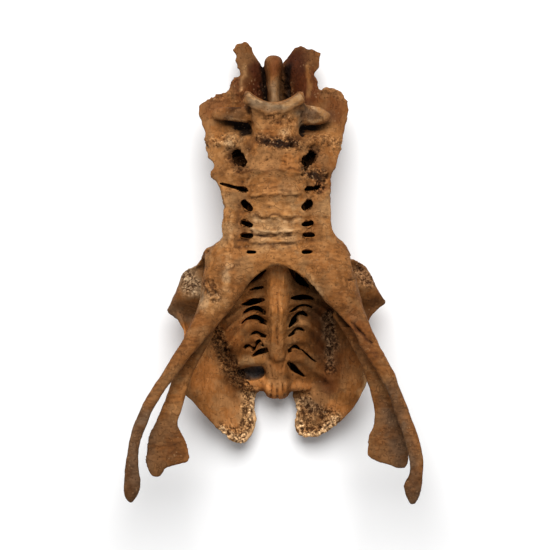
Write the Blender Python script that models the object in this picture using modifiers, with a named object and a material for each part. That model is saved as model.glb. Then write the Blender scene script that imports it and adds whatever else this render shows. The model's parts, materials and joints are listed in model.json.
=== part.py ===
"""Moa pelvis: one fused bone, lying on its back with the side that faced the ground upwards.

Metres, +Z up, +Y towards the front of the bird and +X to the right as seen from above.
The origin is in the middle of the base of the bone's box, on the plane that it lies on.
"""

import math

import bmesh
import bpy
import numpy as np
from mathutils import Matrix, Vector

MM = 0.001

# Driving sizes in millimetres
BLADE_THICKNESS = 5.0
COVER_THICKNESS = 7.0
WEB_THICKNESS = 5.0
RIB_LIFT = 2.8
RIB_HALF_HEIGHT = 3.8
CANAL_RADIUS = 6.5
SOCKET_RADIUS = 23.0
SOCKET_OPENING = 20.0

# Middle of the bone's box in plan, and the height at which its lowest places are worn flat.
# The shapes below are laid out from the spine's line and the front of the hip sockets.
MIDDLE = (-3.5, 4.3)
GROUND = 0.4

# Fineness of the fused skin, in millimetres, and about how many triangles are kept of it
VOXEL = 1.35
KEPT_TRIANGLES = 9500

BONE_COLOUR = (0.33, 0.17, 0.075, 1.0)

# Blades of the hip bone, from the crest out to the free edge. Each line is a place along
# the bone and six points (x, z) across the middle of the wall on the right side.
BLADE_PROFILES = (
    (238, (3, 5), (15, 15), (25, 22), (36, 28), (52, 33), (70, 36)),
    (205, (2, 3), (12, 16), (21, 29), (33, 38), (52, 44), (72, 47)),
    (172, (2, 2), (11, 17), (21, 31), (36, 42), (58, 49), (84, 53)),
    (140, (2, 2), (11, 20), (20, 35), (34, 47), (56, 55), (82, 59)),
    (110, (2, 2), (10, 22), (18, 40), (31, 55), (50, 65), (78, 70)),
    (80, (2, 2), (9, 24), (17, 45), (29, 62), (42, 74), (62, 82)),
    (50, (2, 2), (10, 22), (19, 44), (31, 62), (43, 77), (60, 88)),
    (25, (2, 2), (14, 15), (27, 35), (42, 54), (56, 70), (72, 84)),
    (0, (2, 2), (24, 6), (43, 18), (62, 32), (80, 45), (102, 54)),
    (-25, (2, 2), (29, 3), (51, 10), (72, 25), (90, 40), (112, 50)),
    (-50, (2, 2), (30, 2), (53, 9), (74, 27), (87, 46), (95, 62)),
    (-80, (2, 3), (30, 3), (53, 10), (74, 28), (87, 47), (94, 60)),
    (-110, (2, 8), (30, 8), (53, 14), (73, 28), (86, 43), (95, 58)),
    (-140, (2, 15), (29, 15), (50, 20), (67, 31), (79, 42), (89, 54)),
    (-178, (2, 24), (26, 25), (42, 29), (56, 36), (66, 42), (76, 50)),
)

# Plan outline of each hip bone, from the front tip round its outer edge to the rear end
LEFT_OUTLINE = (
    (-31, 234), (-27, 232), (-20, 218), (-13, 207), (-2, 204), (-2, -118), (-15, -118),
    (-20, -123), (-21, -129), (-22, -138), (-20, -148), (-21, -157), (-26, -166), (-30, -171),
    (-36, -173), (-46, -169), (-56, -160), (-65, -151), (-74, -141), (-84, -129), (-92, -121),
    (-94, -100), (-93, -80), (-92, -58), (-98, -47), (-110, -41), (-108, -35), (-104, -26),
    (-100, -16), (-97, -8), (-94, -1), (-88, 4), (-80, 7), (-76, 12), (-73, 20), (-69, 25),
    (-63, 27), (-57, 30), (-53, 35), (-53, 48), (-52, 58), (-51, 65), (-53, 73), (-55, 80),
    (-57, 87), (-59, 91), (-63, 94), (-65, 98), (-63, 102), (-60, 106), (-64, 112), (-68, 116),
    (-69, 125), (-70, 136), (-73, 146), (-75, 153), (-77, 160), (-77, 165), (-74, 170),
    (-69, 174), (-63, 176), (-59, 180), (-54, 180), (-51, 183), (-46, 185), (-45, 191),
    (-42, 197), (-35, 199), (-38, 206), (-40, 214), (-40, 220), (-44, 224), (-42, 229),
    (-36, 232),
)
RIGHT_OUTLINE = (
    (25, 231), (29, 227), (32, 225), (36, 227), (40, 225), (45, 221), (43, 212), (43, 206),
    (38, 200), (41, 195), (41, 188), (44, 183), (48, 186), (59, 186), (65, 182), (69, 177),
    (72, 168), (72, 161), (71, 152), (68.5, 144), (66, 134), (64, 124), (61, 112), (57.5, 102),
    (54.5, 93), (54.5, 78), (54, 63), (54, 53), (56, 42), (60, 36), (66.5, 31), (71, 23), (76.5, 15),
    (85, 10), (91, 5), (95, -1), (100, -11), (104, -20), (110, -30), (102, -36), (96, -42),
    (92, -48), (93, -60), (93, -80), (92, -106), (89, -116), (84, -126), (78, -136),
    (72, -143), (62, -153), (52, -161), (41, -165), (29, -167), (22, -164), (19, -157),
    (19, -145), (21, -137), (19, -130), (17, -122), (15, -117), (2, -117), (2, 204), (5, 210),
    (12, 219), (19, 228),
)

# Plates that roof the waist, from the vertebrae out to the free edge, as the blades above
COVER_PROFILES = (
    (152, (16, 50), (30, 36), (46, 40), (74, 48)),
    (143, (16, 60), (30, 44), (46, 48), (74, 54)),
    (134, (16, 84), (30, 74), (46, 65), (74, 60)),
    (124, (16, 90), (30, 82), (46, 70), (74, 61)),
    (108, (16, 94), (30, 88), (46, 77), (70, 68)),
    (90, (16, 96), (30, 92), (43, 85), (64, 78)),
    (62, (16, 97), (30, 94), (42, 89), (60, 86)),
    (32, (16, 97), (31, 96), (44, 93), (60, 91)),
    (6, (16, 92), (31, 96), (46, 98), (62, 96)),
)

# Tubes that run along the bone. Each line is a place along it, then the two sides and the
# underside and top of an oval there.
FRONT_BODY = (
    (180, -31, 27, 68, 98), (176, -32, 28, 66, 100), (170, -31, 28, 63, 101),
    (164, -28, 25, 61, 100), (156, -26, 23, 59, 98), (146, -25, 23, 58, 97),
    (136, -25, 23, 58, 98), (128, -27, 25, 58, 101), (122, -28, 27, 58, 101),
    (112, -28, 28, 58, 101), (101, -30, 30, 58, 104), (90, -29, 29, 58, 102),
    (78, -30, 30, 58, 104), (68, -28, 28, 58, 102), (58, -29, 29, 58, 103),
    (50, -27, 27, 58, 102), (44, -28, 28, 58, 103), (38, -26, 26, 58, 101),
    (28, -27, 27, 58, 100), (14, -28, 28, 60, 98), (7, -20, 24, 64, 92),
)
REAR_BODY = (
    (20, -17, 20, 16, 80), (4, -17, 20, 16, 75), (-10, -16, 19, 16, 71), (-24, -15, 17, 16, 67),
    (-38, -13, 15, 16, 64), (-54, -11, 13, 15, 60), (-70, -10, 12, 14, 56),
    (-79, -9, 11, 14, 54), (-85, -7, 10, 14, 53), (-89, -5, 8, 16, 50), (-91, -2, 5, 20, 44),
)
LAST_BUT_ONE = (
    (-80, -11, 13, 14, 44), (-88, -12, 14, 13, 46), (-96, -13, 14.5, 12, 47), (-103, -12, 14, 12, 47),
    (-107, -10, 12, 13, 45), (-110, -6, 8, 16, 41), (-111, -3, 5, 18, 37),
)
LAST_BODY = (
    (-100, -11, 13, 13, 37), (-107, -13, 15, 12, 43), (-115, -13.5, 15.5, 12, 46),
    (-120, -12, 14, 14, 45), (-124, -10, 12, 16, 42), (-127, -7, 9, 19, 37),
)
SPINE = (
    (220, -5, 2, 24, 35), (217, -10, 6, 16, 41), (211, -12, 7, 10, 45), (200, -10, 5, 7, 47),
    (188, -9, 4, 5, 49), (172, -8, 5, 3, 52), (150, -8, 7, 1, 58), (110, -8, 8, -1, 60),
    (60, -9, 9, -2, 62), (10, -11, 11, -2, 60), (-30, -12, 12, 0, 40), (-70, -12, 12, 3, 36),
    (-105, -11, 11, 7, 30), (-120, -8, 8, 11, 24),
)
NEURAL_ARCH = (
    (170, -7, 4, 45, 53), (165, -12, 9, 43, 66), (150, -16, 13, 42, 70), (128, -16, 14, 44, 70),
)
LEFT_HIP = (
    (36, -50, -20, 66, 94), (28, -62, -20, 63, 98), (20, -70, -16, 61, 102), (10, -73, -14, 58, 106),
    (0, -74, -14, 58, 108), (-12, -74, -21, 60, 109), (-24, -75, -30, 66, 110),
    (-38, -79, -42, 76, 109), (-51, -85, -54, 84, 108), (-64, -91, -66, 90, 108),
)
RIGHT_HIP = (
    (39, 20, 53, 66, 94), (30, 18, 67, 63, 98), (20, 16, 73, 60, 102), (10, 14, 77, 58, 106),
    (0, 16, 79, 58, 108), (-12, 26, 81, 60, 109), (-24, 38, 84, 66, 110), (-38, 52, 88, 76, 109),
    (-51, 62, 92, 84, 108), (-64, 74, 96, 90, 108),
)
LEFT_LEDGE = (
    (8, -80, -60, 44, 52), (1, -92, -55, 42, 56), (-7, -96, -55, 41, 62), (-15, -99, -55, 41, 68),
    (-21, -101, -55, 42, 73), (-26, -104, -55, 44, 71), (-34, -108, -55, 46, 63),
    (-39, -110, -55, 48, 58), (-43, -104, -57, 48, 56), (-49, -96, -59, 48, 56),
    (-58, -90, -62, 48, 56),
)
RIGHT_LEDGE = (
    (14, 60, 78, 44, 52), (8, 60, 87, 42, 55), (1, 58, 93, 41, 61), (-7, 58, 97, 41, 67),
    (-14, 58, 100, 42, 72), (-20, 58, 104, 45, 68), (-27, 58, 109, 47, 62),
    (-30, 58, 111, 49, 58), (-34, 58, 104, 48, 56), (-40, 60, 97, 48, 56), (-50, 62, 92, 48, 56),
)
LEFT_PUBIS = (
    (-27, -72, -40, 88, 108), (-42, -80, -51, 91, 109), (-56, -87, -63, 95, 111),
    (-71, -95, -74, 99, 113), (-85, -104, -86, 104, 117), (-100, -113, -97, 107, 120),
    (-112, -121, -107, 110, 123), (-123, -128, -114, 114, 126), (-135, -134, -121, 118, 129),
    (-146, -138.5, -125, 122, 133), (-158, -142, -130, 127, 137), (-171, -144.5, -133, 131, 141),
    (-185, -146.5, -134, 135, 145), (-194, -147.5, -133, 138, 148), (-205, -148, -131, 140, 150),
    (-214, -148, -133, 142, 151), (-219, -146, -136, 143, 151), (-223, -143, -139, 145, 149),
)
RIGHT_PUBIS = (
    (-27, 47, 80, 88, 108), (-42, 59, 89, 91, 109), (-56, 71, 95, 95, 111),
    (-71, 82, 102, 99, 113), (-85, 91, 109, 104, 117), (-100, 100, 117, 107, 120),
    (-114, 108, 122, 110, 123), (-128, 113, 128, 115, 127), (-143, 118, 133, 121, 131),
    (-157, 123, 138, 127, 136), (-171, 127, 142, 131, 141), (-185, 130, 143.5, 135, 145),
    (-195, 129.5, 143, 138, 148), (-205, 124, 142, 140, 150), (-213, 125, 140.5, 142, 151),
    (-219, 127, 138.5, 143, 151), (-225, 130, 135, 145, 149),
)
LEFT_ISCHIUM = (
    (-40, -73, -54, 62, 88), (-54, -79, -60, 66, 88), (-69, -88, -66, 71, 89),
    (-84, -95, -75, 76, 91), (-104, -103, -84, 82, 94), (-120, -108, -89, 87, 98),
    (-135, -114, -93, 93, 102), (-150, -120, -96, 98, 105), (-161, -126, -91, 101, 107),
    (-171, -127.5, -86.5, 103, 109), (-181, -128.5, -85, 105, 111), (-187, -128.5, -89, 106, 112),
    (-190, -127.5, -104, 107, 112), (-196, -125.5, -110.5, 107, 112), (-201, -121, -114, 108, 112),
)
RIGHT_ISCHIUM = (
    (-40, 55, 74, 62, 88), (-54, 64, 84, 66, 88), (-69, 73, 93, 71, 89), (-84, 81, 101, 76, 91),
    (-104, 89, 108, 82, 94), (-120, 94, 114, 87, 98), (-135, 97, 121, 93, 102),
    (-150, 95.5, 126, 98, 105), (-161, 91, 129, 101, 107), (-171, 90, 130, 103, 109),
    (-181, 91, 131, 105, 111), (-185, 97, 131, 106, 112), (-188, 108, 130, 107, 112),
    (-192, 118, 127, 108, 112),
)

# The vertebrae of the waist have squarer sections than the other tubes
FRONT_BODY_SQUARENESS = 3.2

FRONT_TUBES = {
    "left_hip": LEFT_HIP, "right_hip": RIGHT_HIP, "left_pubis": LEFT_PUBIS, "right_pubis": RIGHT_PUBIS,
}
OTHER_TUBES = {
    "rear_body": REAR_BODY, "last_but_one": LAST_BUT_ONE, "last_body": LAST_BODY, "spine": SPINE,
    "neural_arch": NEURAL_ARCH, "left_ledge": LEFT_LEDGE, "right_ledge": RIGHT_LEDGE,
    "left_ischium": LEFT_ISCHIUM, "right_ischium": RIGHT_ISCHIUM,
}

# Bars that cross the bone. Each line is the middle of a section, its half width and its
# half height.
FRONT_BARS = {
    "front_lip": (
        (-29.5, 174.5, 98, 7.2, 4.4), (-24, 170.5, 99, 6.8, 4), (-13.5, 164, 99, 6, 3.6),
        (-2, 161.5, 99, 5.8, 3.4), (9, 164, 99, 6, 3.6), (19.5, 170, 99, 6.6, 4),
        (26, 174, 98, 7, 4.4),
    ),
    "left_first_bar": (
        (-18, 156, 80, 9, 10), (-36, 158, 73, 7.5, 7), (-50, 159, 67, 6.8, 5.5),
        (-59, 159, 62, 6, 4.5), (-63, 159, 60, 3.5, 3),
    ),
    "right_first_bar": (
        (18, 157, 80, 11, 10), (32, 157, 74, 10, 7), (44, 156.5, 68, 8.5, 5.5),
        (51, 156, 64, 5.5, 4.5), (54, 156, 62, 2.5, 3),
    ),
    "left_second_bar": (
        (-18, 124, 84, 10, 8), (-38, 127, 75, 10, 7), (-56, 127, 64, 8, 6), (-69, 126, 58, 7, 5),
    ),
    "right_second_bar": (
        (18, 126, 84, 10, 8), (36, 128, 75, 9, 7), (52, 127, 65, 8, 6), (64, 126, 59, 7, 5),
    ),
    "left_third_bar": (
        (-18, 97, 90, 7, 7), (-36, 98, 85, 6, 6), (-52, 99, 78, 5, 5), (-65, 98, 74, 4, 4),
    ),
    "arch": (
        (-46, -2, 95, 20, 9), (-26, 8, 95, 17, 9), (0, 16, 94, 16, 9), (28, 8, 95, 17, 9),
        (50, -2, 95, 20, 9),
    ),
}
LAST_WINGS = {
    "left_last_wing": ((-6, -109, 32, 6, 4), (-14, -112, 28, 5.6, 4), (-23, -117, 21, 3, 3)),
    "right_last_wing": (
        (8, -110, 32, 7, 4), (18, -112, 28, 6.4, 4), (27, -115, 22, 5, 3.2), (34, -117, 17, 2.6, 2.5),
    ),
}

# Web between the rear vertebrae and the shield, as the blades above
WEB_PROFILES = (
    (14, (6, 68), (20, 60), (40, 44), (54, 38), (66, 35)),
    (-12, (6, 60), (20, 52), (40, 37), (54, 30), (66, 26)),
    (-40, (6, 52), (20, 46), (40, 33), (54, 23), (66, 18)),
    (-70, (6, 45), (20, 40), (40, 28), (54, 19), (66, 18)),
    (-92, (6, 39), (20, 34), (40, 23), (54, 16), (66, 18)),
    (-114, (6, 31), (18, 26), (34, 16), (52, 13), (66, 19)),
    (-119, (6, 26), (18, 21), (34, 12), (52, 12), (66, 18)),
)

# Ribs on that web, from the vertebrae out to the shield: points (x, y) and half widths
LEFT_RIBS = (
    ((-9, -4, 3.0), (-20, -9, 3.0), (-34, -20, 2.8), (-47, -30, 1.8)),
    ((-9, -20, 3.2), (-22, -22.5, 3.0), (-36, -26, 2.8), (-50, -34, 1.8)),
    ((-9, -32, 2.0), (-22, -32.6, 1.6), (-34, -36, 1.8), (-50, -47, 1.6)),
    ((-9, -42, 2.8), (-22, -40.5, 2.4), (-34, -45, 2.6), (-50, -58, 1.8)),
    ((-9, -55, 4.6), (-24, -53, 4.4), (-38, -62, 3.8), (-49, -75, 2.2)),
    ((-9, -70, 3.4), (-24, -66.5, 3.2), (-36, -72, 3.2), (-46, -84, 2.0)),
    ((-9, -87, 4.4), (-22, -87.5, 5.0), (-34, -90, 4.4), (-41, -95, 2.6)),
)
RIGHT_RIBS = (
    ((12, -14, 4.0), (24, -18, 3.2), (36, -21, 3.2), (54, -26, 2.6)),
    ((12, -31, 2.6), (26, -29.6, 2.0), (38, -31, 2.2), (56, -42, 2.4)),
    ((11, -40, 2.0), (26, -37, 1.6), (38, -40, 2.0), (56, -56, 2.2)),
    ((11, -54, 3.8), (26, -50, 3.4), (38, -56, 3.6), (56, -74, 2.8)),
    ((11, -68, 4.6), (26, -66, 4.6), (38, -73, 4.6), (54, -92, 3.2)),
    ((11, -85, 4.4), (26, -87, 4.6), (40, -97, 4.4), (54, -108, 3.0)),
)

# Slots through that web, as the ribs, with how far they reach from the web's middle
WEB_SLOTS = (
    ((-28, -12, 0.4), (-21, -4, 3.0), (-13, 3, 2.4)),
    ((-31, -18.5, 0.3), (-24, -16.5, 1.1), (-17, -15, 0.3)),
    ((-41, -33, 0.2), (-33, -31.5, 2.8), (-24, -29, 3.0), (-15, -27, 0.8)),
    ((-38, -44, 0.2), (-29, -38, 2.2), (-21, -36.5, 3.2), (-12, -39.5, 1.8)),
    ((-39, -55, 0.2), (-31, -48, 1.6), (-22, -45.5, 3.2), (-12, -49, 1.8)),
    ((-31, -64.5, 0.2), (-22, -61, 2.4), (-12, -63, 1.6)),
    ((-36, -80, 0.8), (-31, -75.5, 2.2), (-25, -75.5, 1.4), (-18, -69.5, 1.6), (-13, -73, 0.6)),
    ((-28, -86, 0.4), (-19, -81, 2.8), (-11, -78, 2.4)),
    ((14, 6, 1.0), (21, -3, 3.8), (29, -10.5, 4.4), (39, -17.5, 0.8)),
    ((19, -25, 0.8), (28, -25, 2.7), (36, -26, 2.4), (44, -29, 0.3)),
    ((15, -38.5, 0.3), (25, -33.6, 1.6), (33, -33.5, 1.5), (42, -37, 0.3)),
    ((13, -54, 0.6), (20, -46, 3.0), (28, -41.6, 3.4), (37, -46.5, 0.4)),
    ((14, -62.5, 0.6), (24, -57, 2.0), (34, -60, 0.3)),
    ((14, -78, 1.4), (21, -75.5, 2.4), (29, -80, 0.5)),
    ((29, -80, 0.2), (38, -88, 0.7), (45, -93, 0.2)),
    ((14, -92, 1.2), (22, -99.5, 3.4), (34, -108.5, 0.5)),
)
SLOT_REACH = (-8, 34)
SLOT_MARGIN = 0.5

# The widest gap in the web, with the heights between which it is open
WEB_GAP = ((-39, -99, 2.5), (-34, -102, 6.4), (-26, -102.5, 8), (-17, -100, 6.6), (-12, -97, 4))
GAP_REACH = (14, 75)

# Openings between the cross bars of the waist: middle, half length, half width, turn and depth
WAIST_HOLES = (
    (-36.4, 113.6, 9.2, 5.4, 52, 70), (-41.5, 85, 15, 1.7, 16, 79),
    (-28.5, 66.5, 7, 3.2, 42, 79), (-28.8, 48.6, 6.2, 2.4, 20, 79), (-28.8, 36.8, 6.2, 2.2, 0, 79),
    (-24, 20.5, 4.8, 1.8, 0, 80), (33, 113.4, 8.6, 4.8, -56, 70),
    (36, 84, 8, 1.3, -12, 80), (30.8, 67, 6.2, 3.4, -38, 79), (31, 48.6, 6, 2.2, -10, 79),
    (32.4, 37.4, 6, 2.1, 0, 79), (30.5, 20.6, 5, 1.8, 0, 80),
)

# Rear edge of the arch between the hips, closed round the cavity behind it
ARCH_EDGE = (
    (-90, -110), (-75, -76), (-62, -57), (-52, -44), (-40, -31.5), (-33.5, -20.7), (-26.6, -9.9),
    (-20.7, -4), (-14.8, 1), (-7, 6), (1, 8), (9, 6), (16.7, 3), (28.6, -5), (38.4, -13.8),
    (48.3, -27.6), (60, -38.5), (74, -54), (80, -64), (92, -100), (60, -130), (-60, -130),
)

# Hollow of each hip socket, and the point where its opening meets the inside
SOCKETS = (((-91, 8, 82), (-36, -2, 42)), ((95, 11, 82), (38, 0, 42)))


def clear_scene():
    """Remove every object of the scene the file was opened with."""
    for obj in list(bpy.data.objects):
        bpy.data.objects.remove(obj)


def new_collection(name):
    """A new collection in the scene."""
    collection = bpy.data.collections.new(name)
    bpy.context.scene.collection.children.link(collection)
    return collection


def bone_material():
    """The brown of old bone."""
    material = bpy.data.materials.new("bone")
    material.use_nodes = True
    shader = material.node_tree.nodes["Principled BSDF"]
    shader.inputs["Base Color"].default_value = BONE_COLOUR
    shader.inputs["Roughness"].default_value = 0.65
    return material


def add_object(name, mesh, collection):
    """A new object for a mesh, in a collection."""
    obj = bpy.data.objects.new(name, mesh)
    collection.objects.link(obj)
    return obj


def through(stations, at):
    """Values at the given places on smooth curves through the stations, one row for each place.

    The first number of a station is its place, and the others are the values there.
    """
    table = np.array(sorted(stations), float)
    place, values = table[:, 0], table[:, 1:]
    slopes = np.gradient(values, place, axis=0)
    at = np.clip(at, place[0], place[-1])
    i = np.clip(np.searchsorted(place, at) - 1, 0, len(place) - 2)
    span = (place[i + 1] - place[i])[:, None]
    t = (at - place[i])[:, None] / span
    ease = t * t * (3 - 2 * t)
    bend = t * (1 - t) * span
    bulge = bend * ((1 - t) * slopes[i] - t * slopes[i + 1])
    return values[i] * (1 - ease) + values[i + 1] * ease + bulge


def ring(bm, middle, across, upward, sides=16, squareness=2.4):
    """A closed ring of vertices on a squarish oval, as the edges between them."""
    made = bmesh.ops.create_circle(bm, segments=sides, radius=1.0)["verts"]
    for vertex in made:
        angle = math.atan2(vertex.co.y, vertex.co.x)
        wide, high = abs(math.cos(angle)), abs(math.sin(angle))
        reach = (wide**squareness + high**squareness) ** (-1 / squareness)
        side = across * (math.cos(angle) * reach)
        vertex.co = (middle + side + upward * (math.sin(angle) * reach)) * MM
    return list({edge for vertex in made for edge in vertex.link_edges})


def loft(name, sections, collection):
    """A closed solid through a run of rings, each a middle, an across and an upward vector."""
    bm = bmesh.new()
    rings = [ring(bm, *section) for section in sections]
    for first, second in zip(rings, rings[1:]):
        bmesh.ops.bridge_loops(bm, edges=first + second)
    bmesh.ops.holes_fill(bm, edges=rings[0] + rings[-1], sides=0)
    bmesh.ops.recalc_face_normals(bm, faces=bm.faces)
    mesh = bpy.data.meshes.new(name)
    bm.to_mesh(mesh)
    bm.free()
    return add_object(name, mesh, collection)


def along_tube(name, rows, collection, spacing=3.5, squareness=2.4):
    """A tube that runs along the bone, from rows of place, sides, underside and top."""
    places = [row[0] for row in rows]
    count = max(3, round((max(places) - min(places)) / spacing) + 1)
    at = np.linspace(min(places), max(places), count)
    sections = []
    for y, (left, right, low, high) in zip(at, through(rows, at)):
        middle = Vector(((left + right) / 2, y, (low + high) / 2))
        across = Vector(((right - left) / 2, 0, 0))
        sections.append((middle, across, Vector((0, 0, (high - low) / 2)), 20, squareness))
    return loft(name, sections, collection)


def cross_bar(name, stations, collection, steps=5):
    """A bar through the middles of its sections, each section square to the bar's line."""
    rows = [(i, *station) for i, station in enumerate(stations)]
    at = np.linspace(0, len(rows) - 1, (len(rows) - 1) * steps + 1)
    values = through(rows, at)
    middles = [Vector(row[:3]) for row in values]
    sections = []
    for i, (middle, row) in enumerate(zip(middles, values)):
        line = (middles[min(i + 1, len(middles) - 1)] - middles[max(i - 1, 0)]).normalized()
        across = line.cross(Vector((0, 0, 1))).normalized()
        sections.append((middle, across * row[3], across.cross(line) * row[4]))
    return loft(name, sections, collection)


def shell(name, profiles, side, thickness, collection, rows=100, columns=32):
    """A wall of even thickness through profiles of points (x, z) at places along the bone."""
    at_y = np.linspace(profiles[-1][0], profiles[0][0], rows)
    flat = [(place, *np.array(points, float).ravel()) for place, *points in profiles]
    lines = through(flat, at_y).reshape(rows, -1, 2)
    steps = np.linspace(0, lines.shape[1] - 1, columns)
    bm = bmesh.new()
    grid = bmesh.ops.create_grid(bm, x_segments=columns - 1, y_segments=rows - 1, size=1.0)["verts"]
    for i, y in enumerate(at_y):
        across = through([(k, *point) for k, point in enumerate(lines[i])], steps)
        for j, (x, z) in enumerate(across):
            grid[i * columns + j].co = Vector((side * x, y, z)) * MM
    mesh = bpy.data.meshes.new(name)
    bm.to_mesh(mesh)
    bm.free()
    obj = add_object(name, mesh, collection)
    wall = obj.modifiers.new("wall", "SOLIDIFY")
    wall.thickness = thickness * MM
    wall.offset = 0
    return obj


def prism(name, outline, low, high, collection):
    """An upright solid with a flat outline, for cutting."""
    curve = bpy.data.curves.new(name, "CURVE")
    curve.dimensions = "2D"
    curve.fill_mode = "BOTH"
    curve.extrude = (high - low) / 2 * MM
    line = curve.splines.new("POLY")
    line.points.add(len(outline) - 1)
    for point, (x, y) in zip(line.points, outline):
        point.co = (x * MM, y * MM, 0, 1)
    line.use_cyclic_u = True
    obj = add_object(name + "_curve", curve, collection)
    obj.location.z = (high + low) / 2 * MM
    return as_mesh(name, obj, collection)


def as_mesh(name, obj, collection):
    """A mesh object with the shape of another object, which is removed."""
    bpy.context.view_layer.update()
    graph = bpy.context.evaluated_depsgraph_get()
    mesh = bpy.data.meshes.new_from_object(obj.evaluated_get(graph))
    mesh.transform(obj.matrix_world)
    bpy.data.objects.remove(obj)
    bm = bmesh.new()
    bm.from_mesh(mesh)
    bmesh.ops.remove_doubles(bm, verts=bm.verts, dist=0.00001)
    bmesh.ops.recalc_face_normals(bm, faces=bm.faces)
    bm.to_mesh(mesh)
    bm.free()
    return add_object(name, mesh, collection)


def combine(obj, other, operation, solver="EXACT"):
    """A Boolean modifier on an object."""
    step = obj.modifiers.new(operation.lower() + "_" + other.name, "BOOLEAN")
    step.operation = operation
    step.solver = solver
    step.object = other
    other.hide_render = True
    other.display_type = "WIRE"


def joined(name, objects, collection):
    """One object that holds the shapes of several, which are removed."""
    bm = bmesh.new()
    for obj in objects:
        made = as_mesh(obj.name + "_final", obj, collection)
        bm.from_mesh(made.data)
        bpy.data.objects.remove(made)
    mesh = bpy.data.meshes.new(name)
    bm.to_mesh(mesh)
    bm.free()
    return add_object(name, mesh, collection)


def wall(name, profiles, side, thickness, edge, collection):
    """A thin wall of one hip bone, cut to its plan outline."""
    made = shell(name, profiles, side, thickness, collection)
    combine(made, edge, "INTERSECT")
    return made


def web_height(x, y):
    """How high the middle of the web is at a place in plan."""
    flat = [(place, *np.array(points, float).ravel()) for place, *points in WEB_PROFILES]
    line = through(flat, np.array([y])).reshape(-1, 2)
    return float(through([tuple(point) for point in line], np.array([abs(x)]))[0, 0])


def web(side, ribs, collection):
    """The web on one side, with its ribs."""
    made = [shell("web", WEB_PROFILES, side, WEB_THICKNESS, collection)]
    for points in ribs:
        stations = [(x, y, web_height(x, y) + RIB_LIFT, half, RIB_HALF_HEIGHT) for x, y, half in points]
        made.append(cross_bar("rib", stations, collection))
    return made


def plug(x, y, half_length, half_width, turn, floor, cutters):
    """An upright oval plug that cuts one opening of the waist."""
    angle = math.radians(turn)
    along = Vector((math.cos(angle), -math.sin(angle), 0)) * half_length
    beside = Vector((math.sin(angle), math.cos(angle), 0)) * half_width
    return loft("plug", [(Vector((x, y, z)), along, beside) for z in (floor, 95, 125)], cutters)


def slot(points, cutters):
    """A curved blade that cuts one slot and follows the web's height."""
    low, high = SLOT_REACH
    stations = []
    for x, y, half_width in points:
        middle = web_height(x, y) + (low + high) / 2
        stations.append((x, y, middle, half_width + SLOT_MARGIN, (high - low) / 2))
    return cross_bar("slot", stations, cutters)


def gap(cutters):
    """The upright blade that cuts the widest gap of the web."""
    low, high = GAP_REACH
    stations = [(x, y, (low + high) / 2, half_width, (high - low) / 2) for x, y, half_width in WEB_GAP]
    return cross_bar("gap", stations, cutters)


def socket(hollow, inside, cutters):
    """The ball and the leaning plug that cut one hip socket and its opening to the inside."""
    bm = bmesh.new()
    place = Matrix.Translation(Vector(hollow) * MM)
    bmesh.ops.create_icosphere(bm, subdivisions=3, radius=SOCKET_RADIUS * MM, matrix=place)
    mesh = bpy.data.meshes.new("socket_ball")
    bm.to_mesh(mesh)
    bm.free()
    wide = SOCKET_OPENING / 2
    plug_rows = ((*hollow, wide, wide), (*inside, wide, wide))
    return add_object("socket_ball", mesh, cutters), cross_bar("socket_plug", plug_rows, cutters)


def saddle(cutters):
    """The spool that hollows the front face of the first vertebra from side to side."""
    sections = []
    for z, radius in ((57, 37), (66, 36), (80, 33), (94, 35), (108, 37)):
        middle = Vector((-2, 203, z))
        sections.append((middle, Vector((radius, 0, 0)), Vector((0, radius, 0)), 32, 2.0))
    return loft("saddle", sections, cutters)


def canal(cutters):
    """The two ends of the canal of the spinal cord."""
    front = ((-1, 190, 57, CANAL_RADIUS, CANAL_RADIUS), (-1, 132, 58, CANAL_RADIUS, CANAL_RADIUS))
    rear = ((1, -135, 25, 3, 3), (1, -108, 27, 3, 3))
    return [cross_bar("canal_front", front, cutters), cross_bar("canal_rear", rear, cutters)]


def openings(cutters):
    """Three cutters, each of shapes that keep clear of one another."""
    slots = [plug(*row, cutters) for row in WAIST_HOLES]
    slots += [slot(points, cutters) for points in WEB_SLOTS]
    balls, plugs = zip(*(socket(hollow, inside, cutters) for hollow, inside in SOCKETS))
    return (
        joined("slots", slots, cutters),
        joined("hollows", balls, cutters),
        joined("bores", [*plugs, *canal(cutters), gap(cutters)], cutters),
    )


def largest_only(mesh):
    """Remove every body of a mesh except the one with the most vertices."""
    bm = bmesh.new()
    bm.from_mesh(mesh)
    groups = []
    left = set(bm.verts)
    while left:
        group = {left.pop()}
        front = list(group)
        while front:
            for edge in front.pop().link_edges:
                for other in edge.verts:
                    if other not in group:
                        group.add(other)
                        front.append(other)
        left -= group
        groups.append(group)
    groups.sort(key=len)
    small = [vertex for group in groups[:-1] for vertex in group]
    bmesh.ops.delete(bm, geom=small, context="VERTS")
    bm.to_mesh(mesh)
    bm.free()


def fused(obj, collection):
    """The object's shapes melted into one skin, with the outermost sheet alone kept."""
    fuse = obj.modifiers.new("fuse", "REMESH")
    fuse.mode = "VOXEL"
    fuse.voxel_size = VOXEL * MM
    soften = obj.modifiers.new("soften", "SMOOTH")
    soften.factor = 0.5
    soften.iterations = 1
    melted = as_mesh(obj.name + "_melted", obj, collection)
    largest_only(melted.data)
    return melted


def front_mass(covers, collection, cutters):
    """The waist, the arch and the front rods, with the front face and the arch's edge cut."""
    shapes = [*covers, along_tube("front_body", FRONT_BODY, collection, squareness=FRONT_BODY_SQUARENESS)]
    shapes += [along_tube(name, rows, collection) for name, rows in FRONT_TUBES.items()]
    shapes += [cross_bar(name, stations, collection) for name, stations in FRONT_BARS.items()]
    mass = fused(joined("front_mass", shapes, collection), collection)
    combine(mass, saddle(cutters), "DIFFERENCE", "MANIFOLD")
    combine(mass, prism("arch_edge", ARCH_EDGE, 50, 150, cutters), "DIFFERENCE", "MANIFOLD")
    return mass


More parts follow.
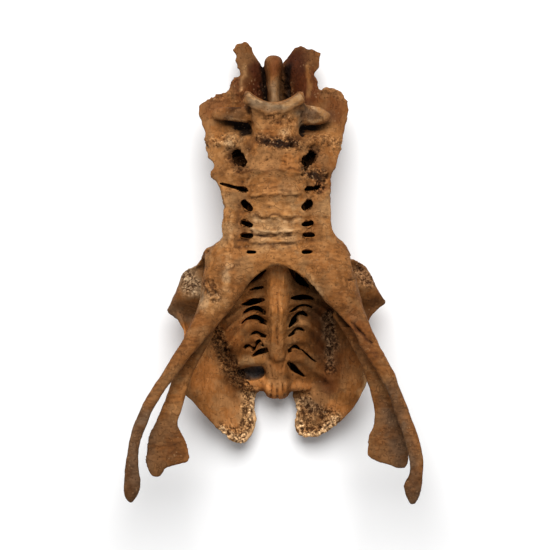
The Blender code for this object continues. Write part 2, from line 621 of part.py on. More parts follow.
def thinned(name, obj, kept, collection):
    """The object with about so many triangles, cut flat where it touches the ground."""
    obj.data.calc_loop_triangles()
    step = obj.modifiers.new("thin_out", "DECIMATE")
    step.ratio = kept / len(obj.data.loop_triangles)
    made = as_mesh(name, obj, collection)
    bm = bmesh.new()
    bm.from_mesh(made.data)
    geometry = bm.verts[:] + bm.edges[:] + bm.faces[:]
    cut = bmesh.ops.bisect_plane(
        bm, geom=geometry, dist=0.00001, plane_co=(0, 0, GROUND * MM), plane_no=(0, 0, 1), clear_inner=True
    )
    edges = [item for item in cut["geom_cut"] if isinstance(item, bmesh.types.BMEdge)]
    bmesh.ops.holes_fill(bm, edges=edges, sides=0)
    bmesh.ops.triangulate(bm, faces=bm.faces)
    bmesh.ops.translate(bm, verts=bm.verts, vec=Vector((*MIDDLE, GROUND)) * -MM)
    bm.to_mesh(made.data)
    bm.free()
    return made


def main():
    clear_scene()
    bone = new_collection("moa_pelvis")
    cutters = new_collection("cutters")
    blades, covers = [], []
    for side, outline in ((-1, LEFT_OUTLINE), (1, RIGHT_OUTLINE)):
        edge = prism("outline", outline, -40, 140, cutters)
        blades.append(wall("blade", BLADE_PROFILES, side, BLADE_THICKNESS, edge, bone))
        covers.append(wall("cover", COVER_PROFILES, side, COVER_THICKNESS, edge, bone))
    shapes = [*blades, front_mass(covers, bone, cutters)]
    shapes += [along_tube(name, rows, bone) for name, rows in OTHER_TUBES.items()]
    shapes += [cross_bar(name, stations, bone) for name, stations in LAST_WINGS.items()]
    shapes += web(-1, LEFT_RIBS, bone) + web(1, RIGHT_RIBS, bone)
    solid = fused(joined("solid", shapes, bone), bone)
    for cutter in openings(cutters):
        combine(solid, cutter, "DIFFERENCE", "MANIFOLD")
    skin = fused(as_mesh("carved", solid, bone), bone)
    pelvis = thinned("pelvis", skin, KEPT_TRIANGLES, bone)
    pelvis.data.materials.append(bone_material())


main()
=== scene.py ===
"""Looks of the moa pelvis: one fused bone on its back, seen from straight above.

Shapes are laid out in millimetres from the line of the spine and the front of the hip
sockets, as in the part's own source, and the finished bone is moved to the shared frame.
Positions are +X to the right, +Y towards the front of the bird and +Z up.
"""

import json
import logging
import math
from dataclasses import dataclass, field
from enum import Enum
from typing import Iterable, Optional, Sequence, Union

import bmesh
import bpy
import numpy as np
from mathutils import Matrix, Vector, noise
from mathutils.bvhtree import BVHTree

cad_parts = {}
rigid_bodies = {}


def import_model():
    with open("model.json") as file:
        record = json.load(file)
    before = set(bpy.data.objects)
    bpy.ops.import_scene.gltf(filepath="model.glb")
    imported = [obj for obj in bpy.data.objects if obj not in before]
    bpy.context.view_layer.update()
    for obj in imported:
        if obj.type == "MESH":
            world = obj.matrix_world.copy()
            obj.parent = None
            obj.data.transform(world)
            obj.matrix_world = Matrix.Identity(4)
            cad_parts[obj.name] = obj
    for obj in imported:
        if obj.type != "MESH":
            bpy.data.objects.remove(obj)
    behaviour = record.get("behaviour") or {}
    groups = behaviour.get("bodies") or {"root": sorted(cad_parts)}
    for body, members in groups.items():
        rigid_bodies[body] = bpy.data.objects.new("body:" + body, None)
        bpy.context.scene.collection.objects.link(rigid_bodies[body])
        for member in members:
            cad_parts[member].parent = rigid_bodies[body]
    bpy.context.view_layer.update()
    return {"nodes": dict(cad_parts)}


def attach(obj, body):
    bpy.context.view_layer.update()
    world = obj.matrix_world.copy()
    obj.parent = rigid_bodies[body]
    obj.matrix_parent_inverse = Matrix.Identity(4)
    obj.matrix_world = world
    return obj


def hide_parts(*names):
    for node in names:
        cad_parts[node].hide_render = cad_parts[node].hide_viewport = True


logging.basicConfig(level=logging.INFO, format="%(relativeCreated)7.0f ms  %(message)s")
log = logging.getLogger("moa_pelvis")

MM = 0.001

# Farther than anything on the bone
FAR = 1e9

# How square the sections of tubes and bars are: 2 is an ellipse
SQUARENESS = 2.4

# Middle of the bone's box in plan, and the height at which its lowest places are worn flat
MIDDLE = (-3.5, 4.3)
GROUND = 0.4

# Start of the noise, so that every run makes the same bone
SEED = 11

Solid = bpy.types.Object
Row = tuple[float, ...]
Rows = tuple[Row, ...]
Profiles = tuple[tuple, ...]


def through(stations: Sequence[Sequence[float]], at: np.ndarray) -> np.ndarray:
    """Values at the given places on smooth curves through the stations.

    Args:
        stations: rows that start with a place, followed by the values there.
        at: the places that are wanted.

    Returns:
        One row of values for each place.
    """
    table = np.array(sorted(stations), float)
    place, values = table[:, 0], table[:, 1:]
    slopes = np.gradient(values, place, axis=0)
    at = np.clip(at, place[0], place[-1])
    i = np.clip(np.searchsorted(place, at) - 1, 0, len(place) - 2)
    span = (place[i + 1] - place[i])[:, None]
    t = (at - place[i])[:, None] / span
    ease = t * t * (3 - 2 * t)
    bend = t * (1 - t) * span
    bulge = bend * ((1 - t) * slopes[i] - t * slopes[i + 1])
    return values[i] * (1 - ease) + values[i + 1] * ease + bulge


class Bench:
    """The collection that holds the rough shapes, and the ways in which they are made."""

    def __init__(self) -> None:
        """Open an empty collection for rough shapes."""
        self.collection = bpy.data.collections.new("rough_shapes")
        bpy.context.scene.collection.children.link(self.collection)

    def add(self, name: str, mesh: bpy.types.Mesh) -> Solid:
        """Put a mesh on the bench.

        Args:
            name: the object's name.
            mesh: its shape.

        Returns:
            The object.
        """
        obj = bpy.data.objects.new(name, mesh)
        self.collection.objects.link(obj)
        return obj

    def shape(self, name: str, bm: bmesh.types.BMesh) -> Solid:
        """Turn a finished bmesh into an object on the bench.

        Args:
            name: the object's name.
            bm: its shape, which is used up.

        Returns:
            The object.
        """
        mesh = bpy.data.meshes.new(name)
        bm.to_mesh(mesh)
        bm.free()
        return self.add(name, mesh)

    def close(self) -> None:
        """Remove whatever is left on the bench."""
        for obj in list(self.collection.objects):
            bpy.data.objects.remove(obj)
        bpy.data.collections.remove(self.collection)

    @staticmethod
    def ring(
        bm: bmesh.types.BMesh,
        middle: Vector,
        across: Vector,
        upward: Vector,
        squareness: float = SQUARENESS,
        sides: int = 24,
    ) -> list[bmesh.types.BMEdge]:
        """Add a closed squarish oval of vertices.

        Args:
            bm: the mesh under construction.
            middle: the oval's middle in millimetres.
            across: from the middle to the oval's side.
            upward: from the middle to the oval's top.
            squareness: 2 is an ellipse, more is squarer.
            sides: how many vertices it has.

        Returns:
            The oval's edges.
        """
        made = bmesh.ops.create_circle(bm, segments=sides, radius=1.0)["verts"]
        for vertex in made:
            angle = math.atan2(vertex.co.y, vertex.co.x)
            wide, high = abs(math.cos(angle)), abs(math.sin(angle))
            reach = (wide**squareness + high**squareness) ** (-1 / squareness)
            side = across * (math.cos(angle) * reach)
            vertex.co = (middle + side + upward * (math.sin(angle) * reach)) * MM
        return list({edge for vertex in made for edge in vertex.link_edges})

    def loft(self, name: str, sections: Iterable[tuple]) -> Solid:
        """A closed solid through a run of rings.

        Args:
            name: the object's name.
            sections: the arguments of each ring, from its middle on.

        Returns:
            The solid.
        """
        bm = bmesh.new()
        rings = [self.ring(bm, *section) for section in sections]
        for first, second in zip(rings, rings[1:]):
            bmesh.ops.bridge_loops(bm, edges=first + second)
        bmesh.ops.holes_fill(bm, edges=rings[0] + rings[-1], sides=0)
        bmesh.ops.recalc_face_normals(bm, faces=bm.faces)
        return self.shape(name, bm)

    def tube(self, name: str, rows: Rows, squareness: float = SQUARENESS, spacing: float = 3.0) -> Solid:
        """A tube along the bone.

        Args:
            name: the object's name.
            rows: place along the bone, left side, right side, underside and top.
            squareness: of its sections.
            spacing: distance between its rings.

        Returns:
            The solid.
        """
        places = [row[0] for row in rows]
        count = max(3, round((max(places) - min(places)) / spacing) + 1)
        at = np.linspace(min(places), max(places), count)
        sections = []
        for y, (left, right, low, high) in zip(at, through(rows, at)):
            middle = Vector(((left + right) / 2, y, (low + high) / 2))
            across = Vector(((right - left) / 2, 0, 0))
            sections.append((middle, across, Vector((0, 0, (high - low) / 2)), squareness))
        return self.loft(name, sections)

    def bar(self, name: str, stations: Rows, steps: int = 6) -> Solid:
        """A bar whose sections stand square to its line.

        Args:
            name: the object's name.
            stations: middle (x, y, z), half width and half height of each section.
            steps: rings between two stations.

        Returns:
            The solid.
        """
        rows = [(i, *station) for i, station in enumerate(stations)]
        at = np.linspace(0, len(rows) - 1, (len(rows) - 1) * steps + 1)
        values = through(rows, at)
        middles = [Vector(row[:3]) for row in values]
        sections = []
        for i, (middle, row) in enumerate(zip(middles, values)):
            ahead = middles[min(i + 1, len(middles) - 1)]
            line = (ahead - middles[max(i - 1, 0)]).normalized()
            across = line.cross(Vector((0, 0, 1))).normalized()
            sections.append((middle, across * row[3], across.cross(line) * row[4]))
        return self.loft(name, sections)

    def sheet(
        self,
        name: str,
        profiles: Profiles,
        side: int,
        thickness: float,
        rows: int = 150,
        columns: int = 48,
    ) -> Solid:
        """A wall of even thickness.

        Args:
            name: the object's name.
            profiles: place along the bone, then points (x, z) across the middle of the wall.
            side: 1 for the right side of the bone, -1 for the left.
            thickness: of the wall.
            rows: grid lines across the wall.
            columns: grid lines along the wall.

        Returns:
            The wall, with its thickness as a modifier.
        """
        at_y = np.linspace(profiles[-1][0], profiles[0][0], rows)
        flat = [(place, *np.array(points, float).ravel()) for place, *points in profiles]
        lines = through(flat, at_y).reshape(rows, -1, 2)
        steps = np.linspace(0, lines.shape[1] - 1, columns)
        bm = bmesh.new()
        made = bmesh.ops.create_grid(bm, x_segments=columns - 1, y_segments=rows - 1, size=1.0)
        grid = made["verts"]
        for i, y in enumerate(at_y):
            across = through([(k, *point) for k, point in enumerate(lines[i])], steps)
            for j, (x, z) in enumerate(across):
                grid[i * columns + j].co = Vector((side * x, y, z)) * MM
        obj = self.shape(name, bm)
        wall = obj.modifiers.new("wall", "SOLIDIFY")
        wall.thickness = thickness * MM
        wall.offset = 0
        return obj

    def prism(self, name: str, outline: Rows, low: float, high: float) -> Solid:
        """An upright solid with a flat outline.

        Args:
            name: the object's name.
            outline: points (x, y) round its edge.
            low: height of its underside.
            high: height of its top.

        Returns:
            The solid.
        """
        bm = bmesh.new()
        made = bmesh.ops.create_circle(bm, cap_ends=True, segments=len(outline), radius=1.0)
        edge = sorted(made["verts"], key=lambda vertex: math.atan2(vertex.co.y, vertex.co.x))
        for vertex, (x, y) in zip(edge, outline):
            vertex.co = Vector((x, y, low)) * MM
        grown = bmesh.ops.extrude_face_region(bm, geom=bm.faces[:])["geom"]
        risen = [item for item in grown if isinstance(item, bmesh.types.BMVert)]
        bmesh.ops.translate(bm, verts=risen, vec=(0, 0, (high - low) * MM))
        bmesh.ops.recalc_face_normals(bm, faces=bm.faces)
        return self.shape(name, bm)

    def ball(self, name: str, middle: Row, radius: float, fineness: int = 4) -> Solid:
        """A ball.

        Args:
            name: the object's name.
            middle: its middle.
            radius: its radius.
            fineness: how many times its faces are divided.

        Returns:
            The solid.
        """
        bm = bmesh.new()
        place = Matrix.Translation(Vector(middle) * MM)
        bmesh.ops.create_icosphere(bm, subdivisions=fineness, radius=radius * MM, matrix=place)
        return self.shape(name, bm)

    def applied(self, obj: Solid) -> Solid:
        """Apply an object's modifiers.

        Args:
            obj: the object, which is used up.

        Returns:
            What its modifiers make of it.
        """
        bpy.context.view_layer.update()
        graph = bpy.context.evaluated_depsgraph_get()
        mesh = bpy.data.meshes.new_from_object(obj.evaluated_get(graph))
        name = obj.name
        bpy.data.objects.remove(obj)
        return self.add(name, mesh)

    def joined(self, name: str, objects: Iterable[Solid]) -> Solid:
        """Put several shapes in one object.

        Args:
            name: the object's name.
            objects: the shapes, which are used up.

        Returns:
            The one object.
        """
        bm = bmesh.new()
        for obj in objects:
            made = self.applied(obj)
            bm.from_mesh(made.data)
            bpy.data.objects.remove(made)
        bmesh.ops.recalc_face_normals(bm, faces=bm.faces)
        return self.shape(name, bm)

    def combined(self, obj: Solid, tools: Iterable[Solid], operation: str) -> Solid:
        """The result of Booleans between closed solids, in place of the first.

        Args:
            obj: the solid that is changed.
            tools: the solids that change it one after another, which are used up.
            operation: DIFFERENCE or INTERSECT.

        Returns:
            The changed solid.
        """
        tools = list(tools)
        for tool in tools:
            step = obj.modifiers.new("combine", "BOOLEAN")
            step.operation = operation
            step.solver = "MANIFOLD"
            step.object = tool
        made = self.applied(obj)
        for tool in tools:
            bpy.data.objects.remove(tool)
        return made

    def fused(self, obj: Solid, voxel: float, softening: int) -> Solid:
        """The object's overlapping shapes melted into one skin.

        Args:
            obj: the object, which is used up.
            voxel: fineness of the skin in millimetres.
            softening: how many times the skin is smoothed.

        Returns:
            The skin's largest body.
        """
        melt = obj.modifiers.new("melt", "REMESH")
        melt.mode = "VOXEL"
        melt.voxel_size = voxel * MM
        if softening:
            soften = obj.modifiers.new("soften", "SMOOTH")
            soften.factor = 0.5
            soften.iterations = softening
        skin = self.applied(obj)
        self.keep_largest(skin.data)
        return skin

    @staticmethod
    def keep_largest(mesh: bpy.types.Mesh) -> None:
        """Remove every body of a mesh except the one with the most vertices.

        Args:
            mesh: the mesh, which is changed.
        """
        ends = np.empty(len(mesh.edges) * 2, np.int32)
        mesh.edges.foreach_get("vertices", ends)
        first, second = ends.reshape(-1, 2).T
        label = np.arange(len(mesh.vertices))
        while True:
            least = label.copy()
            np.minimum.at(least, first, label[second])
            np.minimum.at(least, second, label[first])
            least = least[least]
            if (least == label).all():
                break
            label = least
        names, counts = np.unique(label, return_counts=True)
        if len(names) == 1:
            return
        spare = np.flatnonzero(label != names[counts.argmax()])
        bm = bmesh.new()
        bm.from_mesh(mesh)
        bm.verts.ensure_lookup_table()
        bmesh.ops.delete(bm, geom=[bm.verts[i] for i in spare], context="VERTS")
        bm.to_mesh(mesh)
        bm.free()


@dataclass
class Part:
    """A part of the bone, with the bench that it is made on."""

    bench: Bench

    def tubes(self, *names: str) -> list[Solid]:
        """Tubes named after the fields that hold their rows."""
        return [self.bench.tube(name, getattr(self, name)) for name in names]

    def bars(self, *names: str) -> list[Solid]:
        """Bars named after the fields that hold their stations."""
        return [self.bench.bar(name, getattr(self, name)) for name in names]


@dataclass
class HipBones(Part):
    """The thin walls of both hip bones: the blades from the crest, and the roof of the waist.

    A profile is a place along the bone and points (x, z) from the crest outwards. Edges are chipped
    by up to the raggedness at the front and round the rear notch, and by less elsewhere.
    """

    blade_thickness: float = 5.0
    cover_thickness: float = 7.0
    chip: float = 1.5
    chip_size: float = 2.6
    raggedness: float = 2.4
    whole_edge: float = 0.3
    chipped_from: float = 75.0
    notch_from: float = -118.0
    notch_half_width: float = 60.0
    cut: tuple[float, float] = (-40, 140)
    blade_profiles: Profiles = (
        (238, (3, 5), (15, 15), (25, 22), (36, 28), (52, 33), (70, 36)),
        (205, (2, 3), (12, 16), (21, 29), (33, 38), (52, 44), (72, 47)),
        (172, (2, 2), (11, 17), (21, 31), (36, 42), (58, 49), (84, 53)),
        (140, (2, 2), (11, 20), (20, 35), (34, 47), (56, 55), (82, 59)),
        (110, (2, 2), (10, 22), (18, 40), (31, 55), (50, 65), (78, 70)),
        (80, (2, 2), (9, 24), (17, 45), (29, 62), (42, 74), (62, 82)),
        (50, (2, 2), (10, 22), (19, 44), (31, 62), (43, 77), (60, 88)),
        (25, (2, 2), (14, 15), (27, 35), (42, 54), (56, 70), (72, 84)),
        (0, (2, 2), (24, 6), (43, 18), (62, 32), (80, 45), (102, 54)),
        (-25, (2, 2), (29, 3), (51, 10), (72, 25), (90, 40), (112, 50)),
        (-50, (2, 2), (30, 2), (53, 9), (74, 27), (87, 46), (95, 62)),
        (-80, (2, 3), (30, 3), (53, 10), (74, 28), (87, 47), (94, 60)),
        (-110, (2, 8), (30, 8), (53, 14), (73, 28), (86, 43), (95, 58)),
        (-140, (2, 15), (29, 15), (50, 20), (67, 31), (79, 42), (89, 54)),
        (-178, (2, 24), (26, 25), (42, 29), (56, 36), (66, 42), (76, 50)),
    )
    cover_profiles: Profiles = (
        (152, (16, 50), (30, 36), (46, 40), (74, 48)),
        (143, (16, 60), (30, 44), (46, 48), (74, 54)),
        (134, (16, 84), (30, 74), (46, 65), (74, 60)),
        (124, (16, 90), (30, 82), (46, 70), (74, 61)),
        (108, (16, 94), (30, 88), (46, 77), (70, 68)),
        (90, (16, 96), (30, 92), (43, 85), (64, 78)),
        (62, (16, 97), (30, 94), (42, 89), (60, 86)),
        (32, (16, 97), (31, 96), (44, 93), (60, 91)),
        (6, (16, 92), (31, 96), (46, 98), (62, 96)),
    )
    left_outline: Rows = (
        (-31, 234), (-27, 232), (-20, 218), (-13, 207), (-2, 204), (-2, -118), (-15, -118),
        (-20, -123), (-21, -129), (-22, -138), (-20, -148), (-21, -157), (-26, -166), (-30, -171),
        (-36, -173), (-46, -169), (-56, -160), (-65, -151), (-74, -141), (-84, -129), (-92, -121),
        (-94, -100), (-93, -80), (-92, -58), (-98, -47), (-110, -41), (-108, -35), (-104, -26),
        (-100, -16), (-97, -8), (-94, -1), (-88, 4), (-80, 7), (-76, 12), (-73, 20), (-69, 25),
        (-63, 27), (-57, 30), (-53, 35), (-53, 48), (-52, 58), (-51, 65), (-53, 73), (-55, 80),
        (-57, 87), (-59, 91), (-63, 94), (-65, 98), (-63, 102), (-60, 106), (-64, 112), (-68, 116),
        (-69, 125), (-70, 136), (-73, 146), (-75, 153), (-77, 160), (-77, 165), (-74, 170),
        (-69, 174), (-63, 176), (-59, 180), (-54, 180), (-51, 183), (-46, 185), (-45, 191),
        (-42, 197), (-35, 199), (-38, 206), (-40, 214), (-40, 220), (-44, 224), (-42, 229),
        (-36, 232),
    )
    right_outline: Rows = (
        (25, 231), (29, 227), (32, 225), (36, 227), (40, 225), (45, 221), (43, 212), (43, 206),
        (38, 200), (41, 195), (41, 188), (44, 183), (48, 186), (59, 186), (65, 182), (69, 177),
        (72, 168), (72, 161), (71, 152), (68.5, 144), (66, 134), (64, 124), (61, 112), (57.5, 102),
        (54.5, 93), (54.5, 78), (54, 63), (54, 53), (56, 42), (60, 36), (66.5, 31), (71, 23), (76.5, 15),
        (85, 10), (91, 5), (95, -1), (100, -11), (104, -20), (110, -30), (102, -36), (96, -42),
        (92, -48), (93, -60), (93, -80), (92, -106), (89, -116), (84, -126), (78, -136),
        (72, -143), (62, -153), (52, -161), (41, -165), (29, -167), (22, -164), (19, -157),
        (19, -145), (21, -137), (19, -130), (17, -122), (15, -117), (2, -117), (2, 204), (5, 210),
        (12, 219), (19, 228),
    )

    def build(self) -> tuple[list[Solid], list[Solid]]:
        """Make the walls of both hip bones, cut to their outlines.

        Returns:
            The blades, and the covers of the waist.
        """
        blades, covers = [], []
        walls = (
            ("blade", self.blade_profiles, self.blade_thickness, blades),
            ("cover", self.cover_profiles, self.cover_thickness, covers),
        )
        for side, outline in ((-1, self.left_outline), (1, self.right_outline)):
            broken = self.broken(outline)
            for name, profiles, thickness, made in walls:
                wall = self.bench.joined(name, [self.bench.sheet(name, profiles, side, thickness)])
                edge = self.bench.prism("outline", broken, *self.cut)
                made.append(self.bench.combined(wall, [edge], "INTERSECT"))
        return blades, covers

    def broken(self, outline: Rows) -> Rows:
        """The outline with chipped edges at the front and beside the rear notch.

        Args:
            outline: points (x, y) round its edge.

        Returns:
            The same edge with many more points.
        """
        points = []
        for (x0, y0), (x1, y1) in zip(outline, outline[1:] + outline[:1]):
            count = max(1, round(math.hypot(x1 - x0, y1 - y0) / self.chip))
            for t in np.arange(count) / count:
                at = Vector((x0 + (x1 - x0) * t, y0 + (y1 - y0) * t, 0))
                notch = at.y < self.notch_from and abs(at.x) < self.notch_half_width
                reach = self.raggedness if at.y > self.chipped_from or notch else self.whole_edge
                wobble = noise.noise_vector(at / self.chip_size) * reach
                points.append((at.x + wobble.x, at.y + wobble.y))
        return tuple(points)


@dataclass
class Vertebrae(Part):
    """The fused backbone: bodies, crest, arch of the first vertebra and its cross bars.

    Bodies are rows of place along the bone, left, right, underside and top. Bars and wings are rows
    of middle (x, y, z), half width and half height.
    """

    body_squareness: float = 3.2
    front_body: Rows = (
        (180, -31, 27, 68, 98), (176, -32, 28, 66, 100), (170, -31, 28, 63, 101),
        (164, -28, 25, 61, 100), (156, -26, 23, 59, 98), (146, -25, 23, 58, 97),
        (136, -25, 23, 58, 98), (128, -27, 25, 58, 101), (122, -28, 27, 58, 101),
        (112, -28, 28, 58, 101), (101, -30, 30, 58, 104), (90, -29, 29, 58, 102),
        (78, -30, 30, 58, 104), (68, -28, 28, 58, 102), (58, -29, 29, 58, 103),
        (50, -27, 27, 58, 102), (44, -28, 28, 58, 103), (38, -26, 26, 58, 101),
        (28, -27, 27, 58, 100), (14, -28, 28, 60, 98), (7, -20, 24, 64, 92),
    )
    rear_body: Rows = (
        (20, -17, 20, 16, 80), (4, -17, 20, 16, 75), (-10, -16, 19, 16, 71), (-24, -15, 17, 16, 67),
        (-38, -13, 15, 16, 64), (-54, -11, 13, 15, 60), (-70, -10, 12, 14, 56),
        (-79, -9, 11, 14, 54), (-85, -7, 10, 14, 53), (-89, -5, 8, 16, 50), (-91, -2, 5, 20, 44),
    )
    last_but_one: Rows = (
        (-80, -11, 13, 14, 44), (-88, -12, 14, 13, 46), (-96, -13, 14.5, 12, 47), (-103, -12, 14, 12, 47),
        (-107, -10, 12, 13, 45), (-110, -6, 8, 16, 41), (-111, -3, 5, 18, 37),
    )
    last_body: Rows = (
        (-100, -11, 13, 13, 37), (-107, -13, 15, 12, 43), (-115, -13.5, 15.5, 12, 46),
        (-120, -12, 14, 14, 45), (-124, -10, 12, 16, 42), (-127, -7, 9, 19, 37),
    )
    spine: Rows = (
        (220, -5, 2, 24, 35), (217, -10, 6, 16, 41), (211, -12, 7, 10, 45), (200, -10, 5, 7, 47),
        (188, -9, 4, 5, 49), (172, -8, 5, 3, 52), (150, -8, 7, 1, 58), (110, -8, 8, -1, 60),
        (60, -9, 9, -2, 62), (10, -11, 11, -2, 60), (-30, -12, 12, 0, 40), (-70, -12, 12, 3, 36),
        (-105, -11, 11, 7, 30), (-120, -8, 8, 11, 24),
    )
    neural_arch: Rows = (
        (170, -7, 4, 45, 53), (165, -12, 9, 43, 66), (150, -16, 13, 42, 70), (128, -16, 14, 44, 70),
    )
    front_lip: Rows = (
        (-29.5, 174.5, 98, 7.2, 4.4), (-24, 170.5, 99, 6.8, 4), (-13.5, 164, 99, 6, 3.6),
        (-2, 161.5, 99, 5.8, 3.4), (9, 164, 99, 6, 3.6), (19.5, 170, 99, 6.6, 4),
        (26, 174, 98, 7, 4.4),
    )
    left_first_bar: Rows = (
        (-18, 156, 80, 9, 10), (-36, 158, 73, 7.5, 7), (-50, 159, 67, 6.8, 5.5),
        (-59, 159, 62, 6, 4.5), (-63, 159, 60, 3.5, 3),
    )
    right_first_bar: Rows = (
        (18, 157, 80, 11, 10), (32, 157, 74, 10, 7), (44, 156.5, 68, 8.5, 5.5),
        (51, 156, 64, 5.5, 4.5), (54, 156, 62, 2.5, 3),
    )
    left_second_bar: Rows = (
        (-18, 124, 84, 10, 8), (-38, 127, 75, 10, 7), (-56, 127, 64, 8, 6), (-69, 126, 58, 7, 5),
    )
    right_second_bar: Rows = (
        (18, 126, 84, 10, 8), (36, 128, 75, 9, 7), (52, 127, 65, 8, 6), (64, 126, 59, 7, 5),
    )
    left_third_bar: Rows = (
        (-18, 97, 90, 7, 7), (-36, 98, 85, 6, 6), (-52, 99, 78, 5, 5), (-65, 98, 74, 4, 4),
    )
    arch: Rows = (
        (-46, -2, 95, 20, 9), (-26, 8, 95, 17, 9), (0, 16, 94, 16, 9), (28, 8, 95, 17, 9),
        (50, -2, 95, 20, 9),
    )
    left_last_wing: Rows = ((-6, -109, 32, 6, 4), (-14, -112, 28, 5.6, 4), (-23, -117, 21, 3, 3))
    right_last_wing: Rows = (
        (8, -110, 32, 7, 4), (18, -112, 28, 6.4, 4), (27, -115, 22, 5, 3.2),
        (34, -117, 17, 2.6, 2.5),
    )

    def build_front(self) -> list[Solid]:
        """Make the bodies of the waist with their bars, and the arch behind them.

        Returns:
            The solids.
        """
        body = self.bench.tube("front_body", self.front_body, self.body_squareness)
        bars = self.bars("front_lip", "left_first_bar", "right_first_bar", "left_second_bar")
        return [body, *bars, *self.bars("right_second_bar", "left_third_bar", "arch")]

    def build_rest(self) -> list[Solid]:
        """Make the crest, the canal's walls, the rear bodies and the last wings.

        Returns:
            The solids.
        """
        tubes = self.tubes("rear_body", "last_but_one", "last_body", "spine", "neural_arch")
        return tubes + self.bars("left_last_wing", "right_last_wing")


@dataclass
class HipJoints(Part):
    """The stout bone round each hip socket, with the ledge that the thigh bone turned against."""

    left_hip: Rows = (
        (36, -50, -20, 66, 94), (28, -62, -20, 63, 98), (20, -70, -16, 61, 102), (10, -73, -14, 58, 106),
        (0, -74, -14, 58, 108), (-12, -74, -21, 60, 109), (-24, -75, -30, 66, 110),
        (-38, -79, -42, 76, 109), (-51, -85, -54, 84, 108), (-64, -91, -66, 90, 108),
    )
    right_hip: Rows = (
        (39, 20, 53, 66, 94), (30, 18, 67, 63, 98), (20, 16, 73, 60, 102), (10, 14, 77, 58, 106),
        (0, 16, 79, 58, 108), (-12, 26, 81, 60, 109), (-24, 38, 84, 66, 110), (-38, 52, 88, 76, 109),
        (-51, 62, 92, 84, 108), (-64, 74, 96, 90, 108),
    )
    left_ledge: Rows = (
        (8, -80, -60, 44, 52), (1, -92, -55, 42, 56), (-7, -96, -55, 41, 62), (-15, -99, -55, 41, 68),
        (-21, -101, -55, 42, 73), (-26, -104, -55, 44, 71), (-34, -108, -55, 46, 63),
        (-39, -110, -55, 48, 58), (-43, -104, -57, 48, 56), (-49, -96, -59, 48, 56),
        (-58, -90, -62, 48, 56),
    )
    right_ledge: Rows = (
        (14, 60, 78, 44, 52), (8, 60, 87, 42, 55), (1, 58, 93, 41, 61), (-7, 58, 97, 41, 67),
        (-14, 58, 100, 42, 72), (-20, 58, 104, 45, 68), (-27, 58, 109, 47, 62),
        (-30, 58, 111, 49, 58), (-34, 58, 104, 48, 56), (-40, 60, 97, 48, 56), (-50, 62, 92, 48, 56),
    )
    socket_radius: float = 23.0
    opening: float = 20.0
    sockets: tuple[tuple[Row, Row], ...] = (
        ((-91, 8, 82), (-36, -2, 42)), ((95, 11, 82), (38, 0, 42)),
    )

    def build_blocks(self) -> list[Solid]:
        """The bone above each socket, which carries the front rod."""
        return self.tubes("left_hip", "right_hip")

    def build_ledges(self) -> list[Solid]:
        """The ledge beside each socket."""
        return self.tubes("left_ledge", "right_ledge")

    def cutters(self) -> tuple[list[Solid], list[Solid]]:
        """Make what hollows the sockets and opens them to the inside.

        Returns:
            The hollows, and the passages.
        """
        wide = self.opening / 2
        hollows, passages = [], []
        for hollow, inside in self.sockets:
            hollows.append(self.bench.ball("socket", hollow, self.socket_radius))
            passages.append(self.bench.bar("passage", ((*hollow, wide, wide), (*inside, wide, wide))))
        return hollows, passages


@dataclass
class Rods(Part):
    """The two pairs of long rods that trail behind the hips."""

    left_pubis: Rows = (
        (-27, -72, -40, 88, 108), (-42, -80, -51, 91, 109), (-56, -87, -63, 95, 111),
        (-71, -95, -74, 99, 113), (-85, -104, -86, 104, 117), (-100, -113, -97, 107, 120),
        (-112, -121, -107, 110, 123), (-123, -128, -114, 114, 126), (-135, -134, -121, 118, 129),
        (-146, -138.5, -125, 122, 133), (-158, -142, -130, 127, 137), (-171, -144.5, -133, 131, 141),
        (-185, -146.5, -134, 135, 145), (-194, -147.5, -133, 138, 148), (-205, -148, -131, 140, 150),
        (-214, -148, -133, 142, 151), (-219, -146, -136, 143, 151), (-223, -143, -139, 145, 149),
    )
    right_pubis: Rows = (
        (-27, 47, 80, 88, 108), (-42, 59, 89, 91, 109), (-56, 71, 95, 95, 111),
        (-71, 82, 102, 99, 113), (-85, 91, 109, 104, 117), (-100, 100, 117, 107, 120),
        (-114, 108, 122, 110, 123), (-128, 113, 128, 115, 127), (-143, 118, 133, 121, 131),
        (-157, 123, 138, 127, 136), (-171, 127, 142, 131, 141), (-185, 130, 143.5, 135, 145),
        (-195, 129.5, 143, 138, 148), (-205, 124, 142, 140, 150), (-213, 125, 140.5, 142, 151),
        (-219, 127, 138.5, 143, 151), (-225, 130, 135, 145, 149),
    )
    left_ischium: Rows = (
        (-40, -73, -54, 62, 88), (-54, -79, -60, 66, 88), (-69, -88, -66, 71, 89),
        (-84, -95, -75, 76, 91), (-104, -103, -84, 82, 94), (-120, -108, -89, 87, 98),
        (-135, -114, -93, 93, 102), (-150, -120, -96, 98, 105), (-161, -126, -91, 101, 107),
        (-171, -127.5, -86.5, 103, 109), (-181, -128.5, -85, 105, 111), (-187, -128.5, -89, 106, 112),
        (-190, -127.5, -104, 107, 112), (-196, -125.5, -110.5, 107, 112), (-201, -121, -114, 108, 112),
    )
    right_ischium: Rows = (
        (-40, 55, 74, 62, 88), (-54, 64, 84, 66, 88), (-69, 73, 93, 71, 89), (-84, 81, 101, 76, 91),
        (-104, 89, 108, 82, 94), (-120, 94, 114, 87, 98), (-135, 97, 121, 93, 102),
        (-150, 95.5, 126, 98, 105), (-161, 91, 129, 101, 107), (-171, 90, 130, 103, 109),
        (-181, 91, 131, 105, 111), (-185, 97, 131, 106, 112), (-188, 108, 130, 107, 112),
        (-192, 118, 127, 108, 112),
    )

    def build_front_rods(self) -> list[Solid]:
        """The upper pair, which grows out of the bone above the sockets."""
        return self.tubes("left_pubis", "right_pubis")

    def build_rear_rods(self) -> list[Solid]:
        """The lower pair, which grows out of the shield."""
        return self.tubes("left_ischium", "right_ischium")


